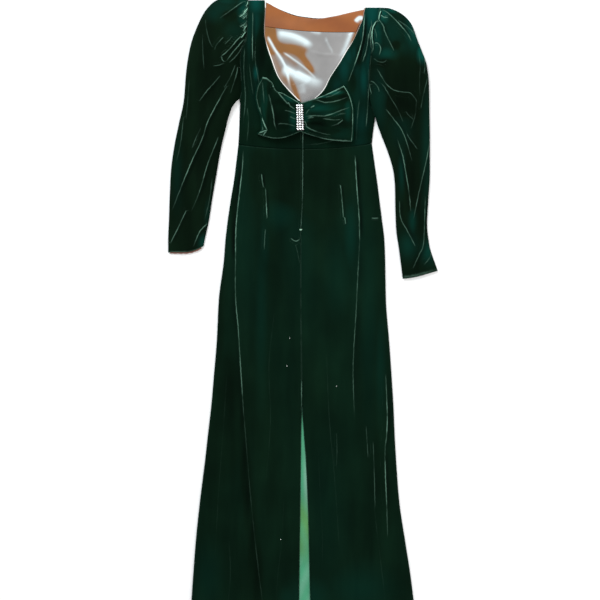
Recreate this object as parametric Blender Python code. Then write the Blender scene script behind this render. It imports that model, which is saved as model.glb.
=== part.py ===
"""Long velvet evening gown, laid flat on its back with its sleeves spread.

Each cut piece is one solid: two bodice fronts and a back, two skirt fronts and a back, an upper and an
under piece for each leg-of-mutton sleeve, the satin pieces that show at the neck, the cuff and the slit,
the zip's tape, the two loops of the bow and the jewelled clasp that gathers them.

X runs across the gown, Y up to the neck and Z up from the surface that it lies on. The origin is on the
flat underside, on the centre line at the waist. Left and right are as seen from above. Sizes are in
millimetres, and MM turns them into metres where a mesh is made.
"""

import math

import bmesh
import bpy
import numpy as np

MM = 0.001
VELVET = 1.6          # wall of the velvet with its pile
SATIN = 1.0           # wall of the satin
GAP = 0.4             # between neighbours at a seam
UNDER = VELVET + GAP  # height of whatever lies on the back panels

CENTRE = 1.0          # the centre line between the two fronts
SIDE_ROLL = 17.0      # how far in from its side a front rises to its full height
SEAM_ROLL = 22.0      # and how far in from the centre seam or the neck edge

# The waist seam dips at the centre and rises at the sides.
WAIST_SIDE = 4.0
WAIST_DIP = 13.0
WAIST_HALF = 170.0
WAIST_REACH = 74.0

HEM_CURVE = 8.0       # the hem is longer at the centre than at the sides
NECK_DIP_FADE = 3     # how fast the rows below the back neckline straighten out


def table(columns, *rows):
    """A cutting table: one array of millimetres for each named column."""
    values = np.array(rows, dtype=float)
    return {name: values[:, i] for i, name in enumerate(columns.split())}


# Heights above the waist, the two fronts' edges, and the heights of the cloth over the surface at the
# side or armhole, between, and at the neck edge. The last row is the shoulder of each side.
BODICE = table(
    "left_y right_y left_side left_neck right_neck right_side side_z loft neck_z",
    (0, 0, -162, 2, 2, 178, 4.0, 8.0, 7.5),
    (40, 40, -160, 1, 1, 182, 4.0, 10.0, 9.0),
    (74, 74, -159, 1, 1, 186, 4.2, 12.5, 10.0),
    (106, 106, -158, 0, 0, 176, 4.6, 13.5, 8.5),
    (119, 119, -159, -13, 31, 173, 6.0, 13.5, 7.5),
    (143, 143, -155, -36, 56, 171, 9.0, 13.0, 7.0),
    (176, 176, -156, -61, 73, 171, 10.0, 12.5, 6.8),
    (214, 214, -158, -76, 98, 173, 10.0, 12.0, 6.6),
    (243, 243, -155, -86, 115, 178, 10.0, 11.5, 6.6),
    (265, 265, -145, -92, 129, 176, 10.0, 11.0, 6.6),
    (288, 288, -140, -96, 140, 174, 10.0, 11.0, 6.6),
    (306, 306, -140, -96, 148, 180, 9.5, 10.5, 6.6),
    (323, 323, -140, -95, 155, 194, 9.0, 10.0, 6.6),
    (345, 338, -139, -94, 158, 196, 8.0, 9.0, 6.4),
    (371, 352, -135, -94, 161, 200, 5.0, 6.0, 6.0),
)
V_ROW = 3             # the row of the V's point
LEFT_UNDERARM = 4     # the row where the left armhole starts
RIGHT_UNDERARM = 2    # the row where the right armhole starts

# How far the back neckline dips below the line between the two shoulders, across the back from 0 to 1.
BACK_NECK = table(
    "across dip",
    (0.0, 0), (0.12, 1), (0.17, 6), (0.26, 22), (0.38, 33), (0.52, 36), (0.66, 27), (0.80, 13), (0.88, 5),
    (0.91, 1), (1.0, 0),
)

# Drops below the waist seam, the skirt's two sides, the two edges of the centre seam, which part at the
# slit, and the heights of the cloth at the sides, between, and at the centre seam.
SKIRT = table(
    "drop left right seam_left seam_right side_z loft seam_z",
    (0, -162, 178, 2, 2, 4.0, 8.0, 7.5),
    (40, -167, 184, 2, 2, 4.0, 8.5, 7.0),
    (87, -173, 191, 2, 2, 4.2, 9.0, 6.8),
    (135, -181, 197, 1, 1, 4.2, 9.5, 6.8),
    (189, -189, 204, -2, -2, 4.2, 9.5, 6.8),
    (240, -195, 210, -3, -3, 4.2, 9.0, 6.2),
    (291, -199, 212, -3, -3, 4.2, 9.0, 7.0),
    (393, -212, 214, -3, -3, 4.2, 8.5, 7.0),
    (495, -217, 222, -2, -2, 4.2, 8.5, 7.0),
    (580, -224, 228, -1, -1, 4.2, 8.5, 6.8),
    (660, -231, 233, 0, 0, 4.2, 8.5, 6.8),
    (730, -239, 236, -2, 8, 4.2, 8.5, 6.5),
    (801, -247, 240, -3, 13, 4.2, 8.5, 6.2),
    (905, -260, 248, -5, 17, 4.2, 8.5, 6.0),
    (1000, -270, 262, -6, 19, 4.2, 9.0, 6.0),
    (1090, -277, 276, -7, 20, 4.4, 9.5, 6.0),
    (1178, -283, 287, -7, 21, 4.6, 9.0, 6.0),
)
SLIT_TOP = 10         # the row where the slit opens

# The long soft folds of the fronts: where each starts, passes and ends, its height and its half width.
FOLDS = table(
    "top_y top_x mid_y mid_x low_y low_x rise reach",
    (-20, -149, -420, -168, -1070, -112, 3.2, 16),
    (-30, 134, -240, 147, -690, 131, 3.0, 16),
    (-520, 205, -760, 208, -1000, 214, 2.6, 13),
    (330, 152, 240, 140, 150, 112, 2.6, 10),
    (320, -122, 230, -124, 110, -118, 2.2, 10),
)

# Where each section of a sleeve runs, from the outer edge over the arm to the inner edge, and its
# height. Section 0 is the armhole, and the last is the cuff.
LEFT_SLEEVE = table(
    "outer_x outer_y inner_x inner_y height",
    (-135, 371, -159, 119, 10),
    (-160, 379, -161, 118, 18),
    (-192, 380, -164, 116, 26),
    (-222, 368, -168, 112, 31),
    (-246, 344, -172, 107, 34),
    (-268, 301, -178, 98, 34),
    (-284, 255, -183, 85, 30),
    (-295, 190, -190, 62, 25),
    (-301, 117, -196, 36, 20),
    (-314, 55, -203, 8, 16),
    (-326, -5, -211, -32, 13),
    (-334, -66, -219, -80, 11),
    (-337, -127, -228, -132, 9.5),
    (-339, -189, -237, -190, 8.5),
    (-341, -240, -246, -232, 7.5),
    (-341, -272, -251, -256, 7.0),
)
RIGHT_SLEEVE = table(
    "outer_x outer_y inner_x inner_y height",
    (200, 352, 186, 74, 10),
    (218, 351, 188, 69, 18),
    (240, 344, 189, 64, 25),
    (262, 330, 191, 57, 30),
    (280, 308, 194, 48, 33),
    (294, 270, 198, 38, 33),
    (306, 240, 203, 24, 30),
    (318, 205, 210, 7, 26),
    (324, 150, 218, -14, 21),
    (325, 80, 226, -38, 17),
    (326, 10, 233, -66, 14),
    (326, -66, 237, -104, 12),
    (322, -140, 238, -158, 10),
    (319, -200, 240, -212, 9),
    (324, -250, 247, -262, 8),
    (346, -319, 257, -339, 7.5),
)
# The long folds of the sleeves, and the gathers where their heads are eased into the armholes.
SLEEVE_FOLDS = table(
    "top_y top_x mid_y mid_x low_y low_x rise reach",
    (150, -190, -23, -278, -166, -331, 3.4, 17),
    (40, -205, -61, -241, -180, -288, 3.0, 13),
    (175, -205, 141, -234, 105, -264, 2.4, 14),
    (110, 206, 30, 255, -60, 285, 3.2, 16),
    (10, 322, -117, 298, -210, 279, 3.0, 13),
    (-130, 246, -196, 252, -265, 292, 2.4, 12),
    (-140, 311, -240, 311, -315, 268, 2.6, 13),
)
GATHER_RISE = 2.2
GATHER_REACH = 5      # how many sections the gathers run before they fade
SLEEVE_FOLD = 2.8     # height of the rounded folds down a sleeve's two edges
FOLD_INSET = 3.0      # how far inside those folds the flat underside starts
SLEEVE_CROWN = 0.45   # how square the sleeve's upper side is across
ARMHOLE_REACH = 4     # how many sections the armhole's curve bends before it fades
SEAM_GAPS = 1.5       # how many gaps the sleeve stands off the armhole
UPPER_TURN = 1.9      # how far the upper piece's edges turn in at the folds
UNDER_TURN = 1.0      # and the under piece's

# The bow's loops from their lower edge to their upper edge: where each row leaves the gathers under the
# clasp, where it reaches the loop's end, how far its middle bends down, and how high its pleat stands.
LEFT_LOOP = table(
    "gather_y end_x end_y sag pleat",
    (37, -112, 29, 15, -0.5),
    (44, -100, 40, 9, 1.5),
    (56, -101, 68, 3, -1.0),
    (68, -110, 96, 0, 2.2),
    (80, -115, 122, 0, -1.2),
    (92, -111, 148, 1, 1.8),
    (107, -99, 169, 5, -0.5),
)
RIGHT_LOOP = table(
    "gather_y end_x end_y sag pleat",
    (37, 126, 11, 2, -0.5),
    (45, 128, 34, 1, 1.4),
    (57, 129, 62, 0, -1.2),
    (69, 129, 86, 0, 2.0),
    (81, 125, 110, 0, -1.4),
    (93, 118, 130, 2, 2.2),
    (106, 106, 150, 5, -0.5),
)
BOW_CENTRE = -5.0
BOW_LIFT = 2.2        # clear space between the bodice and the bow
# The loop's section from the gathers, 0, to its end, 1: height of its upper side over its lower side.
LOOP_SECTION = table(
    "along thickness",
    (0.0, 5.0), (0.08, 6.0), (0.22, 9.0), (0.42, 11.0), (0.64, 10.5), (0.84, 8.5), (0.96, 6.0),
)
LOOP_END = 1.9        # how much further out the loop's fold is rounded
LOOP_INSIDE = 0.5     # and how far inside that its inner face turns

CLASP_SIZE = (18.4, 67.0, 3.2)
CLASP_CENTRE = (-5.2, 70.5)
CLASP_LEAN = math.radians(2.0)
CLASP_BEVEL = 0.6
CLASP_NEAR = 7.0      # how far to each side the clasp rests on what is under it
CLASP_CLEAR = 1.2     # and how far it stands off that

EDGE_SHOWS = 2.5      # how far the fronts' lining shows past the velvet along the V
EDGE_WIDTH = 10.0
EDGE_WALL = 0.8
NECK_TURN = 1.5       # how far the satin stops below the shoulders and the neckline
LINING_ROWS, LINING_COLUMNS = 10, 15
LINING_INSET = 8.0    # how far inside the side seams and armholes the satin stops
FACING_ROWS = 4
FACING_BOW = 8.0      # how much the facing's seam dips at its middle
SLIT_MARGIN = 22.0    # how far the slit's lining runs under each front
SLIT_HEM = 4.0        # and how far it stops above the hem
CUFF_ACROSS = (0.08, 0.36, 0.64, 0.92)
CUFF_TUCK = 11.2      # how far the left cuff's lining starts inside the cuff
CUFF_SHOWS = 3.5      # and how far it shows past it
ZIP_HALF = 12.0
ZIP_TOP = 90.0
ZIP_ROWS = 7
ZIP_LENGTH = 310.0
FACING_DEPTH = 62.0   # the tan facing reaches this far below the shoulders
LINING_FOOT = 97.0    # the lining's lower edge, just under the V's point
LINING_FOLDS = table(
    "top_y top_x mid_y mid_x low_y low_x rise reach",
    (285, -70, 190, -34, 125, -16, 2.4, 6),
    (300, 112, 255, 98, 210, 76, 1.8, 6),
)


def smooth(keys, values, places):
    """Smooth curve through the table's points that never swings past them."""
    steps = np.diff(keys)
    slopes = np.diff(values) / steps
    before, after = slopes[:-1], slopes[1:]
    turning = before * after <= 0
    total = np.where(turning, 1.0, before + after)
    inner = np.where(turning, 0.0, 2 * before * after / total)
    tangents = np.concatenate(([slopes[0]], inner, [slopes[-1]]))
    span = np.clip(np.searchsorted(keys, places, side="right") - 1, 0, len(steps) - 1)
    part = (places - keys[span]) / steps[span]
    start, end = values[span], values[span + 1]
    rise, fall = tangents[span] * steps[span], tangents[span + 1] * steps[span]
    return (
        start * (1 + 2 * part) * (1 - part) ** 2
        + rise * part * (1 - part) ** 2
        + end * part ** 2 * (3 - 2 * part)
        - fall * part ** 2 * (1 - part)
    )


def waist_shift(x, y, clear):
    """How far the waist seam's curve moves a point up or down, less the further it is from the seam."""
    curve = WAIST_SIDE - WAIST_DIP * (1 - (x / WAIST_HALF) ** 2)
    return (curve + clear) * max(0.0, 1 - abs(y) / WAIST_REACH) ** 2


def fold_height(folds, x, y):
    """Summed height of the soft folds at a place."""
    height = 0.0
    for i in range(len(folds["rise"])):
        keys = np.array([folds["low_y"][i], folds["mid_y"][i], folds["top_y"][i]])
        line = np.array([folds["low_x"][i], folds["mid_x"][i], folds["top_x"][i]])
        if not keys[0] < y < keys[-1]:
            continue
        centre = float(smooth(keys, line, np.array(y)))
        run = (y - keys[0]) / (keys[-1] - keys[0])
        fade = min(1.0, 4 * run, 4 * (1 - run))
        height += folds["rise"][i] * fade * math.exp(-(((x - centre) / folds["reach"][i]) ** 2))
    return height


def crowned(x, outer, inner, outer_z, loft, inner_z):
    """Height of a front between its two edges: low at each edge and soft between."""
    near_outer = math.exp(-(((x - outer) / SIDE_ROLL) ** 2))
    near_inner = math.exp(-(((x - inner) / SEAM_ROLL) ** 2))
    return loft - (loft - outer_z) * near_outer - (loft - inner_z) * near_inner


def bodice_height(x, y):
    """Upper surface of the bodice fronts."""
    side, neck = ("left_side", "left_neck") if x < CENTRE else ("right_side", "right_neck")
    at = {name: float(np.interp(y, BODICE["left_y"], BODICE[name])) for name in BODICE}
    body = crowned(x, at[side], at[neck], at["side_z"], at["loft"], at["neck_z"])
    return body + fold_height(FOLDS, x, y)


def skirt_height(x, y):
    """Upper surface of the skirt fronts."""
    side, seam = ("left", "seam_left") if x < CENTRE else ("right", "seam_right")
    at = {name: float(np.interp(-y, SKIRT["drop"], SKIRT[name])) for name in SKIRT}
    body = crowned(x, at[side], at[seam], at["side_z"], at["loft"], at["seam_z"])
    return body + fold_height(FOLDS, x, y)


def wall(name, outer, inner, colour, roughness, ring=False):
    """One closed solid between two grids of points, an outer face and an inner face."""
    rows, columns = outer.shape[:2]
    points = np.concatenate((outer.reshape(-1, 3), inner.reshape(-1, 3))) * MM
    shift = rows * columns
    across = columns if ring else columns - 1
    faces = []
    for i in range(rows - 1):
        for j in range(across):
            k = (j + 1) % columns
            quad = (i * columns + j, i * columns + k, (i + 1) * columns + k, (i + 1) * columns + j)
            faces.append(quad)
            faces.append(tuple(shift + corner for corner in reversed(quad)))
    rim = [(j, (j + 1) % columns) for j in range(across)]
    last = (rows - 1) * columns
    rim += [(last + (j + 1) % columns, last + j) for j in range(across)]
    if not ring:
        rim += [((i + 1) * columns, i * columns) for i in range(rows - 1)]
        end = columns - 1
        rim += [(i * columns + end, (i + 1) * columns + end) for i in range(rows - 1)]
    faces += [(b, a, shift + a, shift + b) for a, b in rim]
    return solid(name, points.tolist(), faces, colour, roughness)


def solid(name, points, faces, colour, roughness, metallic=0.0):
    """A named object with its own material, its faces turned out."""
    mesh = bpy.data.meshes.new(name)
    mesh.from_pydata(points, [], faces)
    shape = bmesh.new()
    shape.from_mesh(mesh)
    bmesh.ops.recalc_face_normals(shape, faces=shape.faces)
    shape.to_mesh(mesh)
    shape.free()
    mesh.shade_smooth()
    material = bpy.data.materials.new(name)
    material.use_nodes = True
    shader = material.node_tree.nodes["Principled BSDF"]
    shader.inputs["Base Color"].default_value = (*colour, 1.0)
    shader.inputs["Roughness"].default_value = roughness
    shader.inputs["Metallic"].default_value = metallic
    mesh.materials.append(material)
    piece = bpy.data.objects.new(name, mesh)
    bpy.context.scene.collection.objects.link(piece)
    return piece


def panel(name, top, thickness, colour, roughness):
    """A laid piece: its upper grid, and the same grid one wall lower."""
    return wall(name, top, top - np.array([0, 0, thickness]), colour, roughness)


VELVET_GREEN = (0.004, 0.030, 0.016)
SATIN_GREY = (0.42, 0.41, 0.40)
SATIN_TAN = (0.40, 0.16, 0.06)
SATIN_MINT = (0.09, 0.40, 0.22)
CUFF_BROWN = (0.16, 0.05, 0.03)
SILVER = (0.80, 0.80, 0.78)
PILE = 0.85
SHINE = 0.30

# Columns of a front, close together where its side rolls over and along its neck edge.
FRONT_ACROSS = (0.0, 0.03, 0.08, 0.15, 0.26, 0.40, 0.55, 0.70, 0.83, 0.93, 1.0)


def bodice_front(side):
    """One front of the bodice, from the waist seam to the shoulder."""
    outward = -1 if side == "left" else 1
    height = BODICE[side + "_y"]
    rows = []
    for i in range(len(height)):
        outer = BODICE[side + "_side"][i]
        inner = BODICE[side + "_neck"][i] + outward * GAP / 2
        row = []
        for t in FRONT_ACROSS:
            x = outer + (inner - outer) * t
            y = height[i] + waist_shift(x, height[i], GAP / 2)
            row.append((x, y, bodice_height(x, BODICE["left_y"][i])))
        rows.append(row)
    return panel("bodice_front_" + side, np.array(rows), VELVET, VELVET_GREEN, PILE)


def bodice_back():
    """The back of the bodice, flat on the surface, scooped at the neck."""
    rows = []
    for i in range(len(BODICE["left_y"])):
        left = np.array([BODICE["left_side"][i], BODICE["left_y"][i]])
        right = np.array([BODICE["right_side"][i], BODICE["right_y"][i]])
        rise = BODICE["left_y"][i] / BODICE["left_y"][-1]
        row = []
        for t, dip in zip(BACK_NECK["across"], BACK_NECK["dip"]):
            x, y = left + (right - left) * t
            y += waist_shift(x, y, GAP / 2) - dip * rise ** NECK_DIP_FADE
            row.append((x, y, VELVET))
        rows.append(row)
    return panel("bodice_back", np.array(rows), VELVET, VELVET_GREEN, PILE)


def skirt_rows(left, right, across, height):
    """Grid of a skirt panel between two columns of edges."""
    rows = []
    for i, drop in enumerate(SKIRT["drop"]):
        fall = drop / SKIRT["drop"][-1]
        row = []
        for t in across:
            x = left[i] + (right[i] - left[i]) * t
            y = -drop + waist_shift(x, drop, -GAP / 2)
            y -= HEM_CURVE * fall ** 2 * (1 - (x / SKIRT["right"][-1]) ** 2)
            row.append((x, y, height(x, -drop)))
        rows.append(row)
    return np.array(rows)


def skirt_front(side):
    """One front of the skirt, from the waist seam to the hem, split at the centre below the slit's top."""
    outward = -1 if side == "left" else 1
    seam = SKIRT["seam_" + side] + outward * GAP / 2
    top = skirt_rows(SKIRT[side], seam, FRONT_ACROSS, skirt_height)
    return panel("skirt_front_" + side, top, VELVET, VELVET_GREEN, PILE)


def skirt_back():
    """The back of the skirt, flat on the surface."""
    top = skirt_rows(SKIRT["left"], SKIRT["right"], BACK_NECK["across"], lambda x, y: VELVET)
    return panel("skirt_back", top, VELVET, VELVET_GREEN, PILE)


def sleeve(side, sections, underarm):
    """A leg-of-mutton sleeve, flattened: its upper and under pieces, from the armhole to the cuff.

    The first row's points are the armhole's own, so that the sleeve meets the bodice all along it.
    """
    outward = -1 if side == "left" else 1
    at_seam = outward * GAP * SEAM_GAPS
    seam_x = BODICE[side + "_side"][underarm:][::-1] + at_seam
    seam_y = BODICE[side + "_y"][underarm:][::-1]
    across = (seam_y - seam_y[0]) / (seam_y[-1] - seam_y[0])
    straight = seam_x[0] + (seam_x[-1] - seam_x[0]) * across
    shape = seam_x - straight
    upper_rows, under_rows = [], []
    for i in range(len(sections["height"])):
        start = np.array([sections["outer_x"][i], sections["outer_y"][i]])
        end = np.array([sections["inner_x"][i], sections["inner_y"][i]])
        if i == 0:
            start[0] += at_seam
            end[0] += at_seam
        width = np.linalg.norm(end - start)
        run = (end - start) / width
        curve = shape * max(0.0, 1 - i / ARMHOLE_REACH) ** 2
        gather = GATHER_RISE * max(0.0, 1 - i / GATHER_REACH)
        upper, upper_in, under, under_in = [], [], [], []
        for k, (t, bend) in enumerate(zip(across, curve)):
            edge = float(t == 0) - float(t == 1)
            place = start + (end - start) * t + np.array([bend, 0])
            crown = (4 * t * (1 - t)) ** SLEEVE_CROWN
            z = SLEEVE_FOLD + (sections["height"][i] - SLEEVE_FOLD) * crown
            z += (fold_height(SLEEVE_FOLDS, *place) + gather * (-1) ** k) * crown
            upper.append((*place, z))
            upper_in.append((*(place + run * UPPER_TURN * edge), z - VELVET * float(edge == 0)))
            inside = min(max(t, FOLD_INSET / width), 1 - FOLD_INSET / width)
            place = start + (end - start) * inside + np.array([bend, 0])
            under.append((*place, 0.0))
            under_in.append((*(place + run * UNDER_TURN * edge), VELVET))
        upper_rows.append((upper, upper_in))
        under_rows.append((under_in, under))
    for name, rows in (("sleeve_", upper_rows), ("sleeve_under_", under_rows)):
        rows = np.array(rows)
        wall(name + side, rows[:, 0], rows[:, 1], VELVET_GREEN, PILE)


def back_lining():
    """Grey satin of the back, where the V shows it, from under the V's point up to the facing."""
    rows = []
    for rise in np.linspace(0, 1, LINING_ROWS):
        row = []
        for t in np.linspace(0, 1, LINING_COLUMNS):
            y = LINING_FOOT + (lining_top(t) - GAP - LINING_FOOT) * rise
            x = lining_edge("left", y) * (1 - t) + lining_edge("right", y) * t
            row.append((x, y, UNDER + SATIN + fold_height(LINING_FOLDS, x, y)))
        rows.append(row)
    return panel("back_lining", np.array(rows), SATIN, SATIN_GREY, SHINE)


def lining_edge(side, y):
    """The lining stops just inside the side seams and armholes."""
    inward = 1 if side == "left" else -1
    return float(np.interp(y, BODICE[side + "_y"], BODICE[side + "_side"])) + inward * LINING_INSET


def lining_top(t):
    """Line where the lining meets the facing."""
    ends = BODICE["left_y"][-1] * (1 - t) + BODICE["right_y"][-1] * t
    return ends - FACING_DEPTH - FACING_BOW * math.sin(math.pi * t)


def neck_facing():
    """Tan satin facing along the back neckline."""
    rows = []
    across = BACK_NECK["across"][1:-1]
    dips = BACK_NECK["dip"][1:-1]
    for rise in np.linspace(0, 1, FACING_ROWS):
        row = []
        for t, dip in zip(across, dips):
            top = BODICE["left_y"][-1] * (1 - t) + BODICE["right_y"][-1] * t - dip - NECK_TURN
            y = lining_top(t) + GAP + (top - lining_top(t) - GAP) * rise
            x = lining_edge("left", y) * (1 - t) + lining_edge("right", y) * t
            row.append((x, y, UNDER + SATIN))
        rows.append(row)
    return panel("neck_facing", np.array(rows), SATIN, SATIN_TAN, SHINE)


def neck_edge(side):
    """The fronts' lining where it rolls out past the velvet along the V."""
    outward = -1 if side == "left" else 1
    rows = []
    for i in range(V_ROW + 1, len(BODICE["left_y"])):
        edge = BODICE[side + "_neck"][i] - outward * EDGE_SHOWS
        y = BODICE[side + "_y"][i] - (NECK_TURN if i == len(BODICE["left_y"]) - 1 else 0.0)
        z = UNDER + SATIN + GAP + SATIN
        rows.append([(edge + outward * EDGE_WIDTH * t, y, z) for t in (1.0, 0.5, 0.0)])
    return panel("neck_edge_" + side, np.array(rows), EDGE_WALL, SATIN_GREY, SHINE)


def strip(name, left, right, y, thickness, colour, roughness):
    """A narrow flat piece on the back panels, from its two edges at a few heights."""
    rows = [[(a, b, UNDER + thickness) for a in (p, q)] for p, q, b in zip(left, right, y)]
    return panel(name, np.array(rows), thickness, colour, roughness)


def zip_tape():
    """Tape of the concealed zip behind the centre seam."""
    y = np.linspace(ZIP_TOP, ZIP_TOP - ZIP_LENGTH, ZIP_ROWS)
    centre = np.interp(-y, SKIRT["drop"], SKIRT["seam_left"])
    return strip("zip_tape", centre - ZIP_HALF, centre + ZIP_HALF, y, SATIN, VELVET_GREEN, PILE)


def slit_lining():
    """Mint satin of the skirt's inside, where the slit shows it."""
    drop = SKIRT["drop"][SLIT_TOP - 1:]
    y = np.append(-drop[:-1], -drop[-1] + SLIT_HEM)
    left = SKIRT["seam_left"][SLIT_TOP - 1:] - SLIT_MARGIN
    right = SKIRT["seam_right"][SLIT_TOP - 1:] + SLIT_MARGIN
    return strip("slit_lining", left, right, y, SATIN, SATIN_MINT, SHINE)


def cuff_lining():
    """Edge of the left sleeve's lining, just past the cuff."""
    rows = []
    for i, past in ((-2, CUFF_TUCK), (-1, 0.0), (-1, CUFF_SHOWS)):
        start = np.array([LEFT_SLEEVE["outer_x"][i], LEFT_SLEEVE["outer_y"][i] - past])
        end = np.array([LEFT_SLEEVE["inner_x"][i], LEFT_SLEEVE["inner_y"][i] - past])
        rows.append([(*(start + (end - start) * t), UNDER + SATIN) for t in CUFF_ACROSS])
    return panel("cuff_lining_left", np.array(rows), SATIN, CUFF_BROWN, SHINE)


def bow_loop(side, loop):
    """One loop of the bow: a band of velvet folded back on itself, gathered under the clasp."""
    outward = -1 if side == "left" else 1
    outer_rows, inner_rows = [], []
    for i in range(len(loop["gather_y"])):
        start = np.array([BOW_CENTRE + outward * GAP / 2, loop["gather_y"][i]])
        end = np.array([loop["end_x"][i], loop["end_y"][i]])
        lower, lower_in, upper, upper_in = [], [], [], []
        for along, thickness in zip(LOOP_SECTION["along"], LOOP_SECTION["thickness"]):
            x, y = start + (end - start) * along - np.array([0, loop["sag"][i] * math.sin(math.pi * along)])
            floor = bodice_height(x, max(y, 0.0)) + BOW_LIFT
            lower.append((x, y, floor))
            lower_in.append((x, y, floor + VELVET))
            roof = floor + thickness + loop["pleat"][i] * math.sin(math.pi * along)
            upper.append((x, y, roof))
            upper_in.append((x, y, roof - VELVET))
        middle = (lower[-1][2] + upper[-1][2]) / 2
        reach = end + np.array([outward * LOOP_END, 0])
        inside = end - np.array([outward * LOOP_INSIDE, 0])
        outer_rows.append(lower + [(*reach, middle)] + upper[::-1])
        inner_rows.append(lower_in + [(*inside, middle)] + upper_in[::-1])
    return wall("bow_" + side, np.array(outer_rows), np.array(inner_rows), VELVET_GREEN, PILE)


def clasp():
    """Plate of the jewelled clasp, leaning a little, on the gathers of the bow."""
    width, length, depth = (size * MM for size in CLASP_SIZE)
    shape = bmesh.new()
    bmesh.ops.create_cube(shape, size=1.0)
    bmesh.ops.scale(shape, vec=(width, length, depth), verts=shape.verts)
    upright = [edge for edge in shape.edges if abs(edge.verts[0].co.z - edge.verts[1].co.z) > depth / 2]
    bmesh.ops.bevel(shape, geom=upright, offset=CLASP_BEVEL * MM, segments=2, affect="EDGES")
    mesh = bpy.data.meshes.new("shape")
    shape.to_mesh(mesh)
    shape.free()
    points = [tuple(vertex.co) for vertex in mesh.vertices]
    faces = [tuple(face.vertices) for face in mesh.polygons]
    bpy.data.meshes.remove(mesh)
    piece = solid("clasp", points, faces, SILVER, 0.2, metallic=1.0)
    across = (CLASP_CENTRE[0] - CLASP_NEAR, CLASP_CENTRE[0], CLASP_CENTRE[0] + CLASP_NEAR)
    under = [bodice_height(x, y) for x in across for y in LEFT_LOOP["gather_y"]]
    top = max(under) + BOW_LIFT + LOOP_SECTION["thickness"][1] + CLASP_CLEAR
    piece.location = (CLASP_CENTRE[0] * MM, CLASP_CENTRE[1] * MM, top * MM + depth / 2)
    piece.rotation_euler = (0, 0, CLASP_LEAN)


for old in list(bpy.data.objects):
    bpy.data.objects.remove(old)

skirt_back()
skirt_front("left")
skirt_front("right")
bodice_back()
bodice_front("left")
bodice_front("right")
sleeve("left", LEFT_SLEEVE, LEFT_UNDERARM)
sleeve("right", RIGHT_SLEEVE, RIGHT_UNDERARM)
back_lining()
neck_facing()
neck_edge("left")
neck_edge("right")
zip_tape()
slit_lining()
cuff_lining()
bow_loop("left", LEFT_LOOP)
bow_loop("right", RIGHT_LOOP)
clasp()
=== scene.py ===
"""Looks for a bottle-green velvet evening gown, laid flat on its back on a pale surface.

Sizes are in millimetres in the gown's own frame, X across, Y up to the neck, Z up off the surface, and
MM turns them into metres where a mesh is made. Left and right are as seen from above.
"""

import math

import bpy
import numpy as np
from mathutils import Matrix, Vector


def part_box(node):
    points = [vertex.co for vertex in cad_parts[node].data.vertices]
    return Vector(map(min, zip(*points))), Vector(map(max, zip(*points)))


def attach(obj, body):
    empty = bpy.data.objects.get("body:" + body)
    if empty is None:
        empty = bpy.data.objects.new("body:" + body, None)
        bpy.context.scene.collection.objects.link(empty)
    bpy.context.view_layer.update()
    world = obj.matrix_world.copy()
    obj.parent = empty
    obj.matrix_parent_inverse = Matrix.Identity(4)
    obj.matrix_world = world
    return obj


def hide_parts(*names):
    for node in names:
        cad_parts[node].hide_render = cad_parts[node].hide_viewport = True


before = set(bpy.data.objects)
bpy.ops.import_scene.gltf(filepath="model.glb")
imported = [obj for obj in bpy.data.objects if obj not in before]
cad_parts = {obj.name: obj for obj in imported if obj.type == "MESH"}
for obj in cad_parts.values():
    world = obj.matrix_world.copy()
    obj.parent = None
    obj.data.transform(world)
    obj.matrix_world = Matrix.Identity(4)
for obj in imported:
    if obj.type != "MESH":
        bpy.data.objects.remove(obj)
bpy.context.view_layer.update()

# ---------------------------------------------------------------------------------------------------
# Skirt fronts. Two long panels of rayon-pile velvet on a woven ground, machine-sewn face to face down
# the centre as far as the slit, pressed open behind, and seamed to the bodice at a raised waist. Each
# is shaped by darts at the waist, and thin pale lines along old fold lines are painted highlight, partly
# crushed pile.

MM = 0.001
SEAM_GAP = 0.4        # between two panels at a seam, as in the solids
VELVET_WALL = 1.5
WAIST_HALF = 170.0
WAIST_EASE = 74.0      # how far from the waist seam its dip fades out
HEM_CURVE = 8.0
SIDE_LOW, SLIT_LOW, HEM_LOW = 2.4, 3.6, 3.4        # heights of the turned edges
SIDE_FOLD, SLIT_FOLD, SEAM_HOLLOW = 13.0, 6.0, 9.0     # how far in the turns and the seam's dip reach
WAIST_DIP, WAIST_REACH = 0.7, 5.0      # how deep and how wide the waist seam sinks
SKIRT_COLUMNS = 72
FAR_OFF = 9.0          # the distance given to points that no crease is near

# Below the waist: the sides, the centre seam's two edges, and the height at the middle and the seam.
SKIRT = np.array([
    # drop, left, right, seam left, seam right, loft, seam height
    (0, -162, 178, 2, 2, 8.0, 7.5),
    (40, -167, 184, 2, 2, 8.5, 7.0),
    (87, -173, 191, 2, 2, 9.0, 6.8),
    (135, -181, 197, 1, 1, 9.5, 6.8),
    (189, -189, 204, -2, -2, 9.5, 6.8),
    (240, -195, 210, -3, -3, 9.0, 6.2),
    (291, -199, 212, -3, -3, 9.0, 7.0),
    (393, -212, 214, -3, -3, 8.5, 7.0),
    (495, -217, 222, -2, -2, 8.5, 7.0),
    (580, -224, 228, -1, -1, 8.5, 6.8),
    (660, -231, 233, 0, 0, 8.5, 6.8),
    (730, -239, 236, -1.4, 4.4, 8.5, 6.5),
    (801, -247, 240, -2.2, 9.6, 8.5, 6.2),
    (905, -260, 248, -3.6, 14.2, 8.5, 6.0),
    (1000, -270, 262, -4.8, 17.0, 9.0, 6.0),
    (1090, -277, 276, -6.0, 18.8, 9.5, 6.0),
    (1178, -283, 287, -7, 21, 9.0, 6.0),
])
SLIT_Y = -660.0
SKIRT_STEP = 3.6       # between the fine shell's points
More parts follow.
